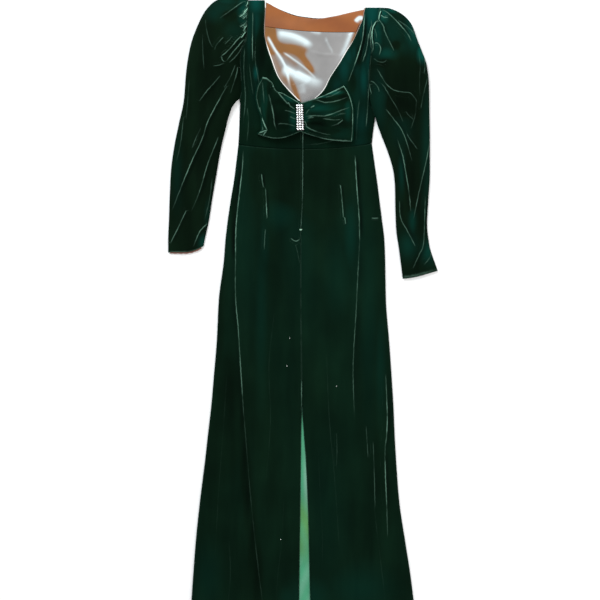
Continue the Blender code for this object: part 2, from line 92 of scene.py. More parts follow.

# Creases pressed into the skirt: points along each, height, half width, and how pale its line is, painted
# highlight partly over crushed pile.
SKIRT_CREASES = [
    ([(-169, -310), (-168, -214), (-161, -138), (-153, -71), (-149, -10)], 2.6, 9, 0.75),
    ([(-148, -690), (-156, -564), (-162, -467), (-169, -382), (-169, -250)], 2.6, 11, 0.36),
    ([(-98, -1180), (-111, -1076), (-128, -921), (-143, -745), (-153, -610)], 3.0, 14, 0.07),
    ([(135, -24), (140, -112), (145, -178), (147, -245)], 2.6, 8, 0.72),
    ([(147, -232), (142, -334), (138, -416), (130, -564), (134, -700)], 2.4, 11, 0.24),
    ([(213, -580), (217, -686), (215, -740), (211, -790), (216, -928), (218, -1000)], 2.4, 8, 0.5),
    ([(-103, -72), (-101, -90), (-98, -107)], 1.2, 5, 0.85),
    ([(-93, -108), (-91, -140), (-89, -188)], 1.4, 5, 0.60),
    ([(-93, -212), (-95, -240), (-96, -266)], 1.0, 5, 0.28),
    ([(98, -98), (102, -140), (106, -188)], 1.4, 5, 0.70),
    ([(109, -182), (111, -201)], 0.9, 4, 0.45),
    ([(177, -184), (186, -185), (195, -184)], 1.3, 4, 0.55),
    ([(3, 30), (2, -30), (1, -135), (-3, -214), (-3, -236)], 0.8, 4, 0.42),
    ([(-29, -235), (-21, -241), (-13, -243), (-5, -237)], 1.8, 5, 0.42),
    ([(-18, -248), (-12, -268), (-6, -300)], 1.4, 6, 0.10),
    ([(-60, -30), (-66, -120), (-62, -210), (-70, -330)], -1.4, 16, 0.0),
    ([(60, -40), (66, -150), (60, -300), (68, -430)], -1.3, 15, 0.0),
    ([(-70, -420), (-84, -560), (-80, -700), (-92, -860)], 1.6, 18, 0.02),
    ([(62, -520), (70, -700), (84, -860), (96, -1040)], 1.7, 18, 0.03),
    ([(-190, -560), (-200, -720), (-212, -880), (-222, -1060)], 1.5, 13, 0.015),
    ([(176, -820), (186, -940), (204, -1090), (214, -1180)], 1.9, 13, 0.02),
    ([(-46, -900), (-52, -1010), (-62, -1100), (-66, -1184)], 1.8, 16, 0.01),
    ([(-186, -1000), (-182, -1090), (-190, -1182)], 1.9, 12, 0.02),
    ([(163, -712), (166, -757), (168, -796)], 1.3, 5, 0.17),
    ([(181, -750), (184, -839), (186, -925)], 1.3, 6, 0.16),
    ([(88, -728), (89, -780), (87, -832)], 1.2, 6, 0.06),
    ([(120, -960), (128, -1060), (126, -1184)], -1.6, 15, 0.0),
    ([(40, -760), (46, -880), (52, -1000), (50, -1120)], 1.3, 11, 0.01),
    ([(-1, -596), (-1, -640), (-1, -676)], 0.5, 4, 0.50),
]

# Painted sheen where the pile leans back, and painted shade where the amount is below 0: centre, half width,
# half height and how far.
SKIRT_PAINTED_SHEEN = [
    (30, -80, 80, 70, -0.55), (-100, -70, 30, 60, -0.25), (-50, -176, 50, 40, 0.25),
    (124, -220, 18, 90, 0.34), (-152, -690, 7, 60, -0.55), (-146, -790, 7, 60, -0.55),
    (-137, -890, 7, 60, -0.5), (-126, -990, 7, 60, -0.5), (-113, -1085, 7, 50, -0.4),
    (-176, -160, 7, 70, -0.45), (92, -330, 40, 110, 0.16), (-104, -420, 16, 190, 0.20),
    (-96, -250, 12, 80, 0.18), (170, -420, 24, 260, 0.16), (-190, -680, 30, 90, -0.40),
    (-215, -420, 10, 150, -0.3), (60, -940, 70, 240, 0.10), (150, -1130, 80, 60, 0.24),
    (20, -1150, 60, 50, 0.26), (-36, -1150, 24, 30, 0.20), (-240, -1100, 40, 90, 0.16),
    (200, -560, 14, 120, 0.22),
]


def linear(colour):
    """An sRGB hex colour as linear red, green and blue, with an alpha of 1."""
    parts = [int(colour[i:i + 2], 16) / 255 for i in (1, 3, 5)]
    return (*(p / 12.92 if p <= 0.04045 else ((p + 0.055) / 1.055) ** 2.4 for p in parts), 1)


def add(tree, kind, settings=None, links=None, out=0):
    """One output of a new node, made with its settings, by property or socket, and its links."""
    new = tree.nodes.new("ShaderNode" + kind)
    for name, value in (settings or {}).items():
        if isinstance(name, str) and hasattr(new, name):
            setattr(new, name, value)
        else:
            new.inputs[name].default_value = value
    for name, source in (links or {}).items():
        tree.links.new(source, new.inputs[name])
    return new.outputs[out] if len(new.outputs) else None


def fresh(name):
    """An empty material, its node tree, and a link to each point's place in the gown's frame."""
    material = bpy.data.materials.new(name)
    material.use_nodes = True
    tree = material.node_tree
    tree.nodes.clear()
    return material, tree, {"Vector": add(tree, "TexCoord", out="Object")}


def velvet(name, shade, painted_sheen, sheen=0.16):
    """Rayon-pile velvet: a nearly black green straight on, with a soft sheen where the pile leans away.

    The pile is woven as fine tufts, drawn here at 1.2 mm because real ones are too fine to show. A crease's
    pale line is painted highlight, partly crushed pile, with painted shade in a band on one side: crease is
    the distance from the line in millimetres, the last mark its strength, and the first mark painted sheen,
    teal, where the pile leans away, and below 0 painted shade, near black. A noise's scale is its marks in a
    metre.
    """
    material, tree, place = fresh(name)
    times, clamped = {"operation": "MULTIPLY"}, {"operation": "MULTIPLY", "use_clamp": True}
    painted_sheen_spots, crease, crushed_and_highlit = (
        add(tree, "Attribute", {"attribute_name": mark}, None, "Fac")
        for mark in ("painted_sheen", "crease", "crushed_and_highlit")
    )
    # the dye is mottled in clouds and in streaks along the gown
    along = {"Vector": add(tree, "Mapping", {"Scale": (1.0, 0.16, 1.0)}, place)}
    streaks = add(tree, "TexNoise", {"Scale": 26.0, "Detail": 2.0}, along)
    cloud = add(tree, "TexNoise", {"Scale": 7.0, "Detail": 3.0}, place)
    mottle = add(tree, "Math", times, {0: streaks, 1: cloud})
    spread = add(tree, "MapRange", {"From Min": 0.05, "From Max": 0.55}, {"Value": mottle})
    painted_shade = add(tree, "Math", {**clamped, 1: -1.0}, {0: painted_sheen_spots})
    # a crease's pale line of painted highlight wavers to each side, and is broken in patches
    waver = add(tree, "TexNoise", {"Scale": 150.0, "Detail": 1.0}, place)
    shift = add(tree, "MapRange", {"To Min": -1.0, "To Max": 1.0}, {"Value": waver})
    apart = add(tree, "Math", {"operation": "ADD"}, {0: crease, 1: shift})
    square = add(tree, "Math", times, {0: apart, 1: apart})
    fall = add(tree, "Math", {**times, 1: -1.3}, {0: square})
    line = add(tree, "Math", {"operation": "EXPONENT"}, {0: fall})
    patch_noise = add(tree, "TexNoise", {"Scale": 34.0, "Detail": 3.0}, place)
    limits = {"From Min": 0.36, "From Max": 0.58, "To Min": 0.3, "To Max": 1.1}
    patchy = add(tree, "MapRange", limits, {"Value": patch_noise})
    broken = add(tree, "Math", times, {0: line, 1: patchy})
    pale = add(tree, "Math", clamped, {0: broken, 1: crushed_and_highlit})
    # on one side of the line the trough is darkened by painted shade
    limits = {"interpolation_type": "SMOOTHSTEP", "From Min": 0.5, "From Max": 5.0, "To Max": 2.0}
    beside = add(tree, "MapRange", limits, {"Value": crease})
    painted_trough_shade = add(tree, "Math", clamped, {0: beside, 1: crushed_and_highlit})
    ground = {"data_type": "RGBA", 6: linear(shade[0]), 7: linear(shade[1])}
    colour = add(tree, "Mix", ground, {0: spread}, 2)
    # over the dye go painted sheen, painted shade where the pile faces the eye, painted shade beside creases,
    # and the painted highlight of crease lines
    for tone, share in ((painted_sheen, painted_sheen_spots), ("#010402", painted_shade), ("#020805", painted_trough_shade), ("#84B29C", pale)):
        colour = add(tree, "Mix", {"data_type": "RGBA", 7: linear(tone)}, {0: share, 6: colour}, 2)
    tufts = add(tree, "TexNoise", {"Scale": 820.0, "Detail": 2.0}, place)
    bump = add(tree, "Bump", {"Strength": 0.35, "Distance": 0.0006}, {"Height": tufts})
    shader = add(tree, "BsdfPrincipled", {
        "Roughness": 0.85, "IOR": 1.47, "Specular IOR Level": 0.03,
        "Sheen Weight": sheen, "Sheen Roughness": 0.30, "Sheen Tint": linear("#2A9070"),
    }, {"Base Color": colour, "Normal": bump})
    add(tree, "OutputMaterial", None, {"Surface": shader})
    return material


def smooth(keys, values, places):
    """Smooth curve through a table's points that never swings past them, for one or more columns."""
    values = np.asarray(values, float).reshape(len(keys), -1)
    places = np.clip(places, keys[0], keys[-1])
    steps = np.diff(keys)[:, None]
    slopes = np.diff(values, axis=0) / steps
    before, after = slopes[:-1], slopes[1:]
    turning = before * after <= 0
    total = np.where(turning, 1.0, before + after)
    bends = np.where(turning, 0.0, 2 * before * after / total)
    tangents = np.concatenate((slopes[:1], bends, slopes[-1:]))
    span = np.clip(np.searchsorted(keys, places, side="right") - 1, 0, len(steps) - 1)
    part = ((places - np.asarray(keys)[span]) / steps[span, 0])[:, None]
    return (
        values[span] * (1 + 2 * part) * (1 - part) ** 2
        + tangents[span] * steps[span] * part * (1 - part) ** 2
        + values[span + 1] * part ** 2 * (3 - 2 * part)
        - tangents[span + 1] * steps[span] * part ** 2 * (1 - part)
    )


def read(table, columns, places, by_row=False):
    """Some columns of a table at places along its first column, or counted in its rows from 0."""
    keys = np.arange(len(table), dtype=float) if by_row else table[:, 0]
    return smooth(keys, table[:, columns], places.ravel()).T.reshape(-1, *places.shape)


def stroke(points):
    """Points every few millimetres along a smooth line through the given ones, and its length."""
    points = np.array(points, float)
    lengths = np.linalg.norm(np.diff(points, axis=0), axis=1)
    pads = np.concatenate((2 * points[:1] - points[1:2], points, 2 * points[-1:] - points[-2:-1]))
    line = []
    for i, length in enumerate(lengths):
        a, b, c, d = pads[i:i + 4]
        for u in np.linspace(0, 1, max(3, int(length / 9)), endpoint=False):
            line.append(0.5 * (2 * b + (c - a) * u + (2 * a - 5 * b + 4 * c - d) * u ** 2
                               + (3 * b - a - 3 * c + d) * u ** 3))
    line.append(points[-1])
    return np.array(line), lengths.sum()


def creased(x, y, creases):
    """What a list of creases does at each point: height, distance from the nearest one, and the strength of
    its pale line, painted highlight with some crushed pile.

    A crease is steep on the left of its line and slopes off on the right, fades out at both ends, and
    is a little uneven along it.
    """
    shape, x, y = x.shape, x.ravel(), y.ravel()
    height, distance, wear_and_highlight = np.zeros_like(x), np.full_like(x, FAR_OFF), np.zeros_like(x)
    for number, (points, rise, reach, pale) in enumerate(creases):
        line, length = stroke(points)
        low, high = line.min(axis=0) - 3 * reach, line.max(axis=0) + 3 * reach
        near = np.flatnonzero((x > low[0]) & (x < high[0]) & (y > low[1]) & (y < high[1]))
        run = np.diff(line, axis=0)
        offset = np.stack((x[near], y[near]), axis=1)[:, None] - line[:-1]
        part = np.clip((offset * run).sum(axis=2) / (run ** 2).sum(axis=1), 0, 1)
        gap = offset - part[:, :, None] * run
        apart = np.sqrt((gap ** 2).sum(axis=2))
        best = apart.argmin(axis=1)
        nearest = (np.arange(len(near)), best)
        apart, part, gap = apart[nearest], part[nearest], gap[nearest]
        side = np.sign(run[best, 0] * gap[:, 1] - run[best, 1] * gap[:, 0])
        along = (best + part) / len(run)
        ends = np.clip(along / 0.16, 0, 1) * np.clip((1 - along) / 0.3, 0, 1)
        ends = ends * ends * (3 - 2 * ends)
        uneven = 0.8 + 0.2 * np.sin(along * length / 31.0 + number * 1.7)
        width = reach * np.where(side > 0, 0.62, 1.25)
        height[near] += rise * uneven * ends * np.exp(-((apart / width) ** 2))
        strength = pale * (0.45 + 0.55 * np.abs(np.sin(along * length / 47.0 + number * 2.3))) * np.sqrt(ends)
        strength = strength * np.clip(1 - apart / (1.6 * reach), 0, 1)
        stronger = strength > wear_and_highlight[near]
        wear_and_highlight[near[stronger]] = strength[stronger]
        distance[near[stronger]] = (side * apart)[stronger]
    return height.reshape(shape), distance.reshape(shape), wear_and_highlight.reshape(shape)


def worn_and_highlit_edges(wear_and_highlight, distance, *edges):
    """Adds pale lines along edges, painted highlight with some crushed pile: how far each is, how strong, how
    wide, and where its line runs.
    """
    for gap, strength, width, line in edges:
        strength = strength * np.clip(1 - gap / width, 0, 1)
        stronger = strength > wear_and_highlight
        wear_and_highlight, distance = np.where(stronger, strength, wear_and_highlight), np.where(stronger, gap - line, distance)
    return wear_and_highlight, distance


def rolled(distance, radius):
    """A cloth edge that turns under: 0 at the edge, up to 1 a radius in."""
    return np.sqrt(1 - (1 - np.clip(distance / radius, 0, 1)) ** 2)


def ripple(x, y):
    """The slow unevenness of cloth that has been smoothed out by hand."""
    slow = np.sin(x / 41.0 + 1.3 * np.sin(y / 97.0)) * np.sin(y / 73.0 + 0.9 * np.sin(x / 58.0))
    quick = np.sin(x / 13.0 + 2.1 * np.sin(y / 37.0)) * np.sin(y / 29.0 + x / 90.0)
    return 0.55 * slow + 0.22 * quick


def cloth(name, places, material, wall, marks=None, ring=False):
    """A shell of cloth from grids of x, y and z, face up, with its wall on the inner side."""
    points = np.stack(places, axis=-1)
    rows, columns = points.shape[:2]
    across = columns if ring else columns - 1
    i, j = np.meshgrid(np.arange(rows - 1) * columns, np.arange(across), indexing="ij")
    k = (j + 1) % columns
    quads = np.stack((i + j, i + k, i + columns + k, i + columns + j), axis=-1).reshape(-1, 4)
    flat = points.reshape(-1, 3)
    corners = flat[quads]
    facing = np.cross(corners[:, 2] - corners[:, 0], corners[:, 3] - corners[:, 1])
    if ring:
        out = (points - points.mean(axis=1, keepdims=True))[:-1].reshape(-1, 3)
        turned = (facing * out).sum() < 0
    else:
        turned = facing[:, 2].sum() < 0
    mesh = bpy.data.meshes.new(name)
    mesh.from_pydata((flat * MM).tolist(), [], (quads[:, ::-1] if turned else quads).tolist())
    mesh.shade_smooth()
    for key, values in (marks or {}).items():
        layer = mesh.attributes.new(key, "FLOAT", "POINT")
        layer.data.foreach_set("value", np.asarray(values, np.float32).ravel())
    mesh.materials.append(material)
    piece = bpy.data.objects.new(name, mesh)
    bpy.context.scene.collection.objects.link(piece)
    shell = piece.modifiers.new("wall", "SOLIDIFY")
    shell.thickness = abs(wall) * MM
    shell.offset = -1 if wall > 0 else 1
    return piece


def tie(piece, nodes, slot, **cut):
    """Ties a piece of cloth to the gown's root body and hides the solids it stands for; its finish and its
    cut are not used.
    """
    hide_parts(*nodes)
    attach(piece, "root")


def waisted(x, y, gap):
    """Heights near the waist, moved to follow its seam, which dips at the centre."""
    seam = 4.0 - 13.0 * (1 - (x / WAIST_HALF) ** 2)
    return y + (seam + gap) * np.clip(1 - np.abs(y) / WAIST_EASE, 0, 1) ** 2


def skirt_fall(x, y):
    """Heights down the skirt, moved to follow the waist seam above and the curved hem below."""
    curve = HEM_CURVE * (y / SKIRT[-1, 0]) ** 2 * (1 - (x / SKIRT[-1, 2]) ** 2)
    return waisted(x, y, -SEAM_GAP / 2) - curve


def between(outer, inner, count):
    """A grid from one edge to the other, with how far each point is from either, in millimetres."""
    t = np.linspace(0, 1, count)[None, :, None]
    grid = outer[:, None, :] + (inner - outer)[:, None, :] * t
    width = np.linalg.norm(inner - outer, axis=1)[:, None]
    return grid, width * t[:, :, 0], width * (1 - t[:, :, 0])


def painted_sheen_and_shade(x, y, places, base):
    """Painted sheen around a few places, and painted shade where the amount is below 0."""
    back, painted_shade = np.zeros(x.shape) + base, np.zeros(x.shape)
    for centre_x, centre_y, wide, tall, amount in places:
        here = np.exp(-((x - centre_x) / wide) ** 2 - ((y - centre_y) / tall) ** 2)
        back = np.maximum(back, amount * here)
        painted_shade = np.maximum(painted_shade, -amount * here)
    return back - painted_shade


def skirt_height(x, y):
    """The skirt's upper side: soft, turned under at the sides, pulled in at the seams."""
    left, right, seam_left, seam_right, loft, seam = read(SKIRT, slice(1, None), -y)
    on_left = x < (seam_left + seam_right) / 2
    side = np.where(on_left, x - left, right - x)
    centre = np.where(on_left, seam_left - x, x - seam_right)
    height = SIDE_LOW + (loft - SIDE_LOW) * rolled(side, SIDE_FOLD)
    sewn = height - (loft - seam) * np.exp(-((np.clip(centre, 0, None) / SEAM_HOLLOW) ** 2))
    turned = SLIT_LOW + (height - SLIT_LOW) * rolled(centre, SLIT_FOLD)
    return np.where(y < SLIT_Y, turned, sewn) + ripple(x, y) * np.clip(side / 20, 0, 1)


def skirt_front(side, outward, side_edge, seam_edge):
    """One front, with its marks for the velvet."""
    drops = np.linspace(0, SKIRT[-1, 0], int(SKIRT[-1, 0] / SKIRT_STEP))
    side_x, seam_x = read(SKIRT, [side_edge, seam_edge], drops)
    outer = np.stack((side_x, -drops), axis=1)
    inner = np.stack((seam_x + outward * SEAM_GAP / 2, -drops), axis=1)
    grid, from_side, from_seam = between(outer, inner, SKIRT_COLUMNS)
    x, nominal = grid[..., 0], grid[..., 1]
    y = skirt_fall(x, nominal)
    rise, distance, wear_and_highlight = creased(x, y, SKIRT_CREASES)
    calm = np.clip(np.minimum(from_side, from_seam + 3) / 9.0, 0, 1)
    from_waist = nominal[0, 0] - nominal
    z = skirt_height(x, nominal) + rise * calm - WAIST_DIP * np.exp(-((from_waist / WAIST_REACH) ** 2))
    z = HEM_LOW + (z - HEM_LOW) * rolled(nominal - nominal[-1, 0], 5.0)
    # pale lines of painted highlight, with some crushed pile, along the slit's turned edges, and a little
    # along the seams
    wear_and_highlight, distance = worn_and_highlit_edges(
        wear_and_highlight, distance, (from_seam, 0.12 * (nominal < SLIT_Y), 6.0, 1.0),
        (from_seam, 0.05 * (nominal >= SLIT_Y), 5.0, 0.6), (from_waist, 0.03, 5.0, 1.5),
    )
    # painted sheen over each front, strongest at the waist and fading towards the hem, with painted sheen and
    # shade in patches
    variation = 0.08 * np.sin(x / 23.0 + y / 210.0) * np.sin(y / 160.0)
    painted_sheen = painted_sheen_and_shade(x, y, SKIRT_PAINTED_SHEEN, (0.10 + variation) * np.clip(1 + nominal / 900.0, 0.25, 1))
    marks = {"crease": distance, "crushed_and_highlit": wear_and_highlight, "painted_sheen": painted_sheen}
    piece = cloth("velvet_skirt_front_" + side, (x, y, z), SKIRT_VELVET, VELVET_WALL, marks)
    tie(piece, ["skirt_front_" + side], "velvet",
        flat=(0.30, 1.19), held="laid", rests_on=["skirt_back"], area=0.275)


SKIRT_VELVET = velvet("rayon_velvet_skirt", ("#030F07", "#0A2114"), "#06382E")
skirt_front("left", -1, 1, 3)
skirt_front("right", 1, 2, 4)

# ---------------------------------------------------------------------------------------------------
# Skirt back. The same velvet in one panel, lying flat under the fronts with its sides turned under;
# it is pressed to the surface, and its own folds are shallow grooves in the underside.

SKIRT_BACK_CREASES = [
    ([(-120, -40), (-132, -260), (-128, -520), (-142, -800)], 1.0, 10, 0.25),
    ([(96, -60), (104, -300), (96, -560), (88, -760)], 1.0, 9, 0.22),
    ([(150, -420), (166, -640), (170, -900), (186, -1080)], 1.1, 11, 0.18),
    ([(-30, -300), (-22, -520), (-34, -760), (-28, -1010)], 0.9, 12, 0.12),
    ([(-190, -700), (-204, -860), (-200, -1040)], 1.0, 10, 0.2),
    ([(30, -820), (44, -960), (40, -1120)], 0.9, 9, 0.15),
]
BACK_WALL = 1.4


def back_panel(name, node, x, y, creases, **cut):
    """A panel flat on the surface, its folds pressed up into it as shallow grooves."""
    groove, distance, wear_and_highlight = creased(x, y, creases)
    z = BACK_WALL + 0.12 + np.clip(groove, 0, 1.2) * 0.35
    # an even painted sheen
    marks = {"crease": distance, "crushed_and_highlit": wear_and_highlight, "painted_sheen": np.full(x.size, 0.08)}
    piece = cloth(name, (x, y, z), SKIRT_VELVET, BACK_WALL, marks)
    tie(piece, [node], "velvet", held="laid", rests_on=["floor"], **cut)


def skirt_back():
    """The skirt's back, from side fold to side fold."""
    drops = np.linspace(0, SKIRT[-1, 0], 120)
    left, right = read(SKIRT, [1, 2], drops)
    outer = np.stack((left + 0.6, -drops), axis=1)
    inner = np.stack((right - 0.6, -drops), axis=1)
    x, nominal = between(outer, inner, 64)[0].transpose(2, 0, 1)
    y = skirt_fall(x, nominal) - nominal / SKIRT[-1, 0]
    back_panel("velvet_skirt_back", "skirt_back", x, y, SKIRT_BACK_CREASES, flat=(0.572, 1.19), area=0.545)


skirt_back()

# ---------------------------------------------------------------------------------------------------
# Slit lining. Mint acetate satin on the inside of the skirt's back, seen as a wedge where the slit
# parts. It is light and slippery, so it lies in long shallow ripples.

MINT_MARGIN = 22.0     # past each edge of the slit
MINT_TOP = -626.0
SATIN_WALL = 0.6


def satin(name, shade, second, gloss, shine=0.75):
    """Acetate satin: long floats on the face give a smooth, silky gloss with a soft direction.

    The weave is 0.25 mm and can't show, so only its slubs are drawn, 1.4 mm apart. The first mark turns the
    first shade into the second, a tone of the cloth, and on the back lining painted reflection; the other
    mark is a painted near-white highlight.
    """
    material, tree, place = fresh(name)
    tone_and_reflection, painted_highlight = (add(tree, "Attribute", {"attribute_name": mark}, None, "Fac") for mark in ("tone_and_reflection", "painted_highlight"))
    stretch = {"Vector": add(tree, "Mapping", {"Scale": (1.0, 0.08, 1.0)}, place)}
    slubs = add(tree, "TexNoise", {"Scale": 700.0, "Detail": 2.0}, stretch)
    cloud = add(tree, "TexNoise", {"Scale": 14.0, "Detail": 3.0}, place)
    limits = {"From Min": 0.3, "From Max": 0.7, "To Min": 0.82, "To Max": 1.08}
    uneven = add(tree, "MapRange", limits, {"Value": cloud})
    colour = add(tree, "Mix", {"data_type": "RGBA", 6: linear(shade), 7: linear(second)}, {0: tone_and_reflection}, 2)
    multiply = {"data_type": "RGBA", "blend_type": "MULTIPLY", 0: 1.0}
    colour = add(tree, "Mix", multiply, {6: colour, 7: uneven}, 2)
    # painted highlight, nearly white
    colour = add(tree, "Mix", {"data_type": "RGBA", 7: linear("#D2E0E3")}, {0: painted_highlight, 6: colour}, 2)
    bump = add(tree, "Bump", {"Strength": 0.12, "Distance": 0.0003}, {"Height": slubs})
    shader = add(tree, "BsdfPrincipled", {
        "Roughness": gloss, "IOR": 1.5, "Specular IOR Level": shine, "Anisotropic": 0.4,
        "Sheen Weight": 0.05, "Sheen Roughness": 0.4,
    }, {"Base Color": colour, "Normal": bump})
    add(tree, "OutputMaterial", None, {"Surface": shader})
    return material


def slit_lining():
    """The wedge of mint satin, a little wider than the slit."""
    heights = np.linspace(MINT_TOP, 3.0 - SKIRT[-1, 0], 190)
    seam_left, seam_right = read(SKIRT, [3, 4], -heights)
    left = np.stack((seam_left - MINT_MARGIN, heights), axis=1)
    right = np.stack((seam_right + MINT_MARGIN, heights), axis=1)
    x, y = between(left, right, 30)[0].transpose(2, 0, 1)
    z = 3.05 + 0.45 * np.sin(x / 6.0 + np.sin(y / 60.0) * 2.2) * np.sin(y / 90.0)
    z = z + 0.3 * np.sin(y / 24.0 + x / 9.0)
    # it is greener half way down, and takes painted highlights beside the slit's right edge and near the hem
    from_centre = x - (left[:, :1] + right[:, :1]) / 2
    tone_and_reflection = np.exp(-(((y + 972) / 74.0) ** 4)) * (0.75 + 0.25 * np.sin(y / 17.0 + x / 8.0))
    painted_highlight = 0.20 * np.exp(-(((y + 850) / 60.0) ** 2)) * np.clip(0.3 + from_centre / 8.0, 0, 1)
    painted_highlight = painted_highlight + 0.07 * np.clip((-1044 - y) / 20.0, 0, 1) * (0.5 + 0.5 * np.sin(y / 14.0 - x / 6.0))
    mint = satin("acetate_satin_mint", "#3C936C", "#4A8A4A", 0.34, 0.45)
    piece = cloth("satin_slit_lining", (x, y, z), mint, SATIN_WALL, {"tone_and_reflection": tone_and_reflection, "painted_highlight": painted_highlight})
    tie(piece, ["slit_lining"], "satin_mint",
        flat=(0.075, 0.556), held="laid", rests_on=["velvet_skirt_back"], area=0.0335)


slit_lining()

# ---------------------------------------------------------------------------------------------------
# Bodice fronts. Velvet cut high-waisted with the fullness eased into soft pleats from the shoulders,
# lined edge to edge along the deep V, and seamed to the skirt.

V_POINT_Y = 106.0
BODICE = np.array([
    # left height, right height, left side, left neck, right neck, right side, side z, loft, neck z
    (0, 0, -162, 2, 2, 178, 4.0, 8.0, 7.5),
    (40, 40, -160, 1, 1, 182, 4.0, 10.0, 9.0),
    (74, 74, -159, 1, 1, 186, 4.2, 12.5, 10.0),
    (106, 106, -158, 0, 0, 176, 4.6, 13.5, 8.5),
    (119, 119, -159, -13, 31, 173, 6.0, 13.5, 7.5),
    (143, 143, -155, -36, 56, 171, 9.0, 13.0, 7.0),
    (176, 176, -156, -61, 73, 171, 10.0, 12.5, 6.8),
    (214, 214, -158, -76, 98, 173, 10.0, 12.0, 6.6),
    (243, 243, -155, -86, 115, 178, 10.0, 11.5, 6.6),
    (265, 265, -145, -92, 129, 176, 10.0, 11.0, 6.6),
    (288, 288, -140, -96, 140, 174, 10.0, 11.0, 6.6),
    (306, 306, -140, -96, 148, 180, 9.5, 10.5, 6.6),
    (323, 323, -140, -95, 155, 194, 9.0, 10.0, 6.6),
    (345, 338, -139, -94, 158, 196, 8.0, 9.0, 6.4),
    (371, 352, -135, -94, 161, 200, 5.0, 6.0, 6.0),
])
LEFT_UNDERARM, RIGHT_UNDERARM = 119.0, 74.0
ARM_DIP, CENTRE_DIP = 1.4, 1.6         # how deep the armhole seam and the centre seam sink
V_LOW, SHOULDER_LOW = 5.0, 3.0         # heights of the turned edges
BODICE_FOLD, V_FOLD, SHOULDER_FOLD = 10.0, 5.0, 8.0     # how far in the turns reach

BODICE_CREASES = [
    ([(160, 340), (157, 300), (153, 268), (141, 226), (118, 162)], 2.4, 7, 0.85),
    ([(170, 290), (167, 262), (163, 240), (154, 212)], 2.0, 6, 0.62),
    ([(177, 306), (173.5, 288), (175, 266), (177, 244)], 1.2, 3, 0.9),
    ([(176, 322), (180, 270), (176, 230), (168, 180)], 1.8, 6, 0.22),
    ([(168, 296), (150, 236), (128, 188)], -1.6, 8, 0.0),
    ([(170, 153), (168, 110), (163, 46)], 1.4, 6, 0.40),
    ([(146, 118), (141, 70), (138, 12)], 1.6, 9, 0.18),
    ([(-125, 340), (-126, 262), (-125, 205)], 1.8, 6, 0.45),
    ([(-118, 300), (-119, 220), (-108, 150), (-112, 110)], 2.0, 9, 0.16),
    ([(-146, 250), (-148, 190), (-144, 120), (-150, 52)], 1.7, 8, 0.18),
    ([(-100, 290), (-98, 230), (-84, 190)], -1.4, 7, 0.0),
    ([(-134, 210), (-130, 170), (-124, 128)], 1.6, 9, 0.10),
    ([(-140, 104), (-136, 60), (-140, 10)], 1.7, 9, 0.14),
    ([(90, 14), (40, 4), (0, 2)], 1.0, 6, 0.06),
    ([(3, 46), (3, 36), (2, 20), (2, -20)], 0.8, 4, 0.50),
]

# Painted sheen where the pile leans back, and painted shade where the amount is below 0: centre, half width,
# half height and how far.
BODICE_PAINTED_SHEEN = [
    (-117, 364, 16, 26, 0.90), (-118, 318, 13, 40, 0.42), (-117, 184, 6, 16, 0.80),
    (-134, 290, 6, 60, 0.25), (-106, 140, 22, 50, 0.16), (178, 336, 22, 44, 0.90),
    (157, 168, 10, 40, 0.62), (108, 196, 14, 36, 0.50), (132, 236, 8, 22, 0.34), (170, 200, 11, 70, 0.36),
    (147, 50, 22, 56, 0.30), (150, 300, 5, 40, 0.40), (92, 150, 16, 24, 0.26), (142, 190, 40, 110, 0.20),
    (118, 226, 12, 26, 0.46), (-102, 240, 10, 50, -0.60), (-84, 190, 10, 30, -0.50),
    (128, 160, 9, 22, -0.40), (146, 226, 6, 20, -0.45), (60, 30, 90, 16, -0.30), (-60, 24, 70, 14, -0.30),
]

BODICE_VELVET = velvet("rayon_velvet_bodice", ("#020D07", "#072013"), "#053B35", 0.14)


def bodice_height(x, y):
    """The bodice fronts' upper side before its creases."""
    left_side, left_neck, right_neck, right_side, side_z, loft, neck_z = read(BODICE, slice(2, None), y)
    on_left = x < (left_neck + right_neck) / 2
    side = np.where(on_left, x - left_side, right_side - x)
    neck = np.where(on_left, left_neck - x, x - right_neck)
    near_side = np.exp(-((np.clip(side, 0, None) / 15.0) ** 2))
    near_neck = np.exp(-((np.clip(neck, 0, None) / 20.0) ** 2))
    return loft - (loft - side_z) * near_side - (loft - neck_z) * near_neck + 0.7 * ripple(x, y)


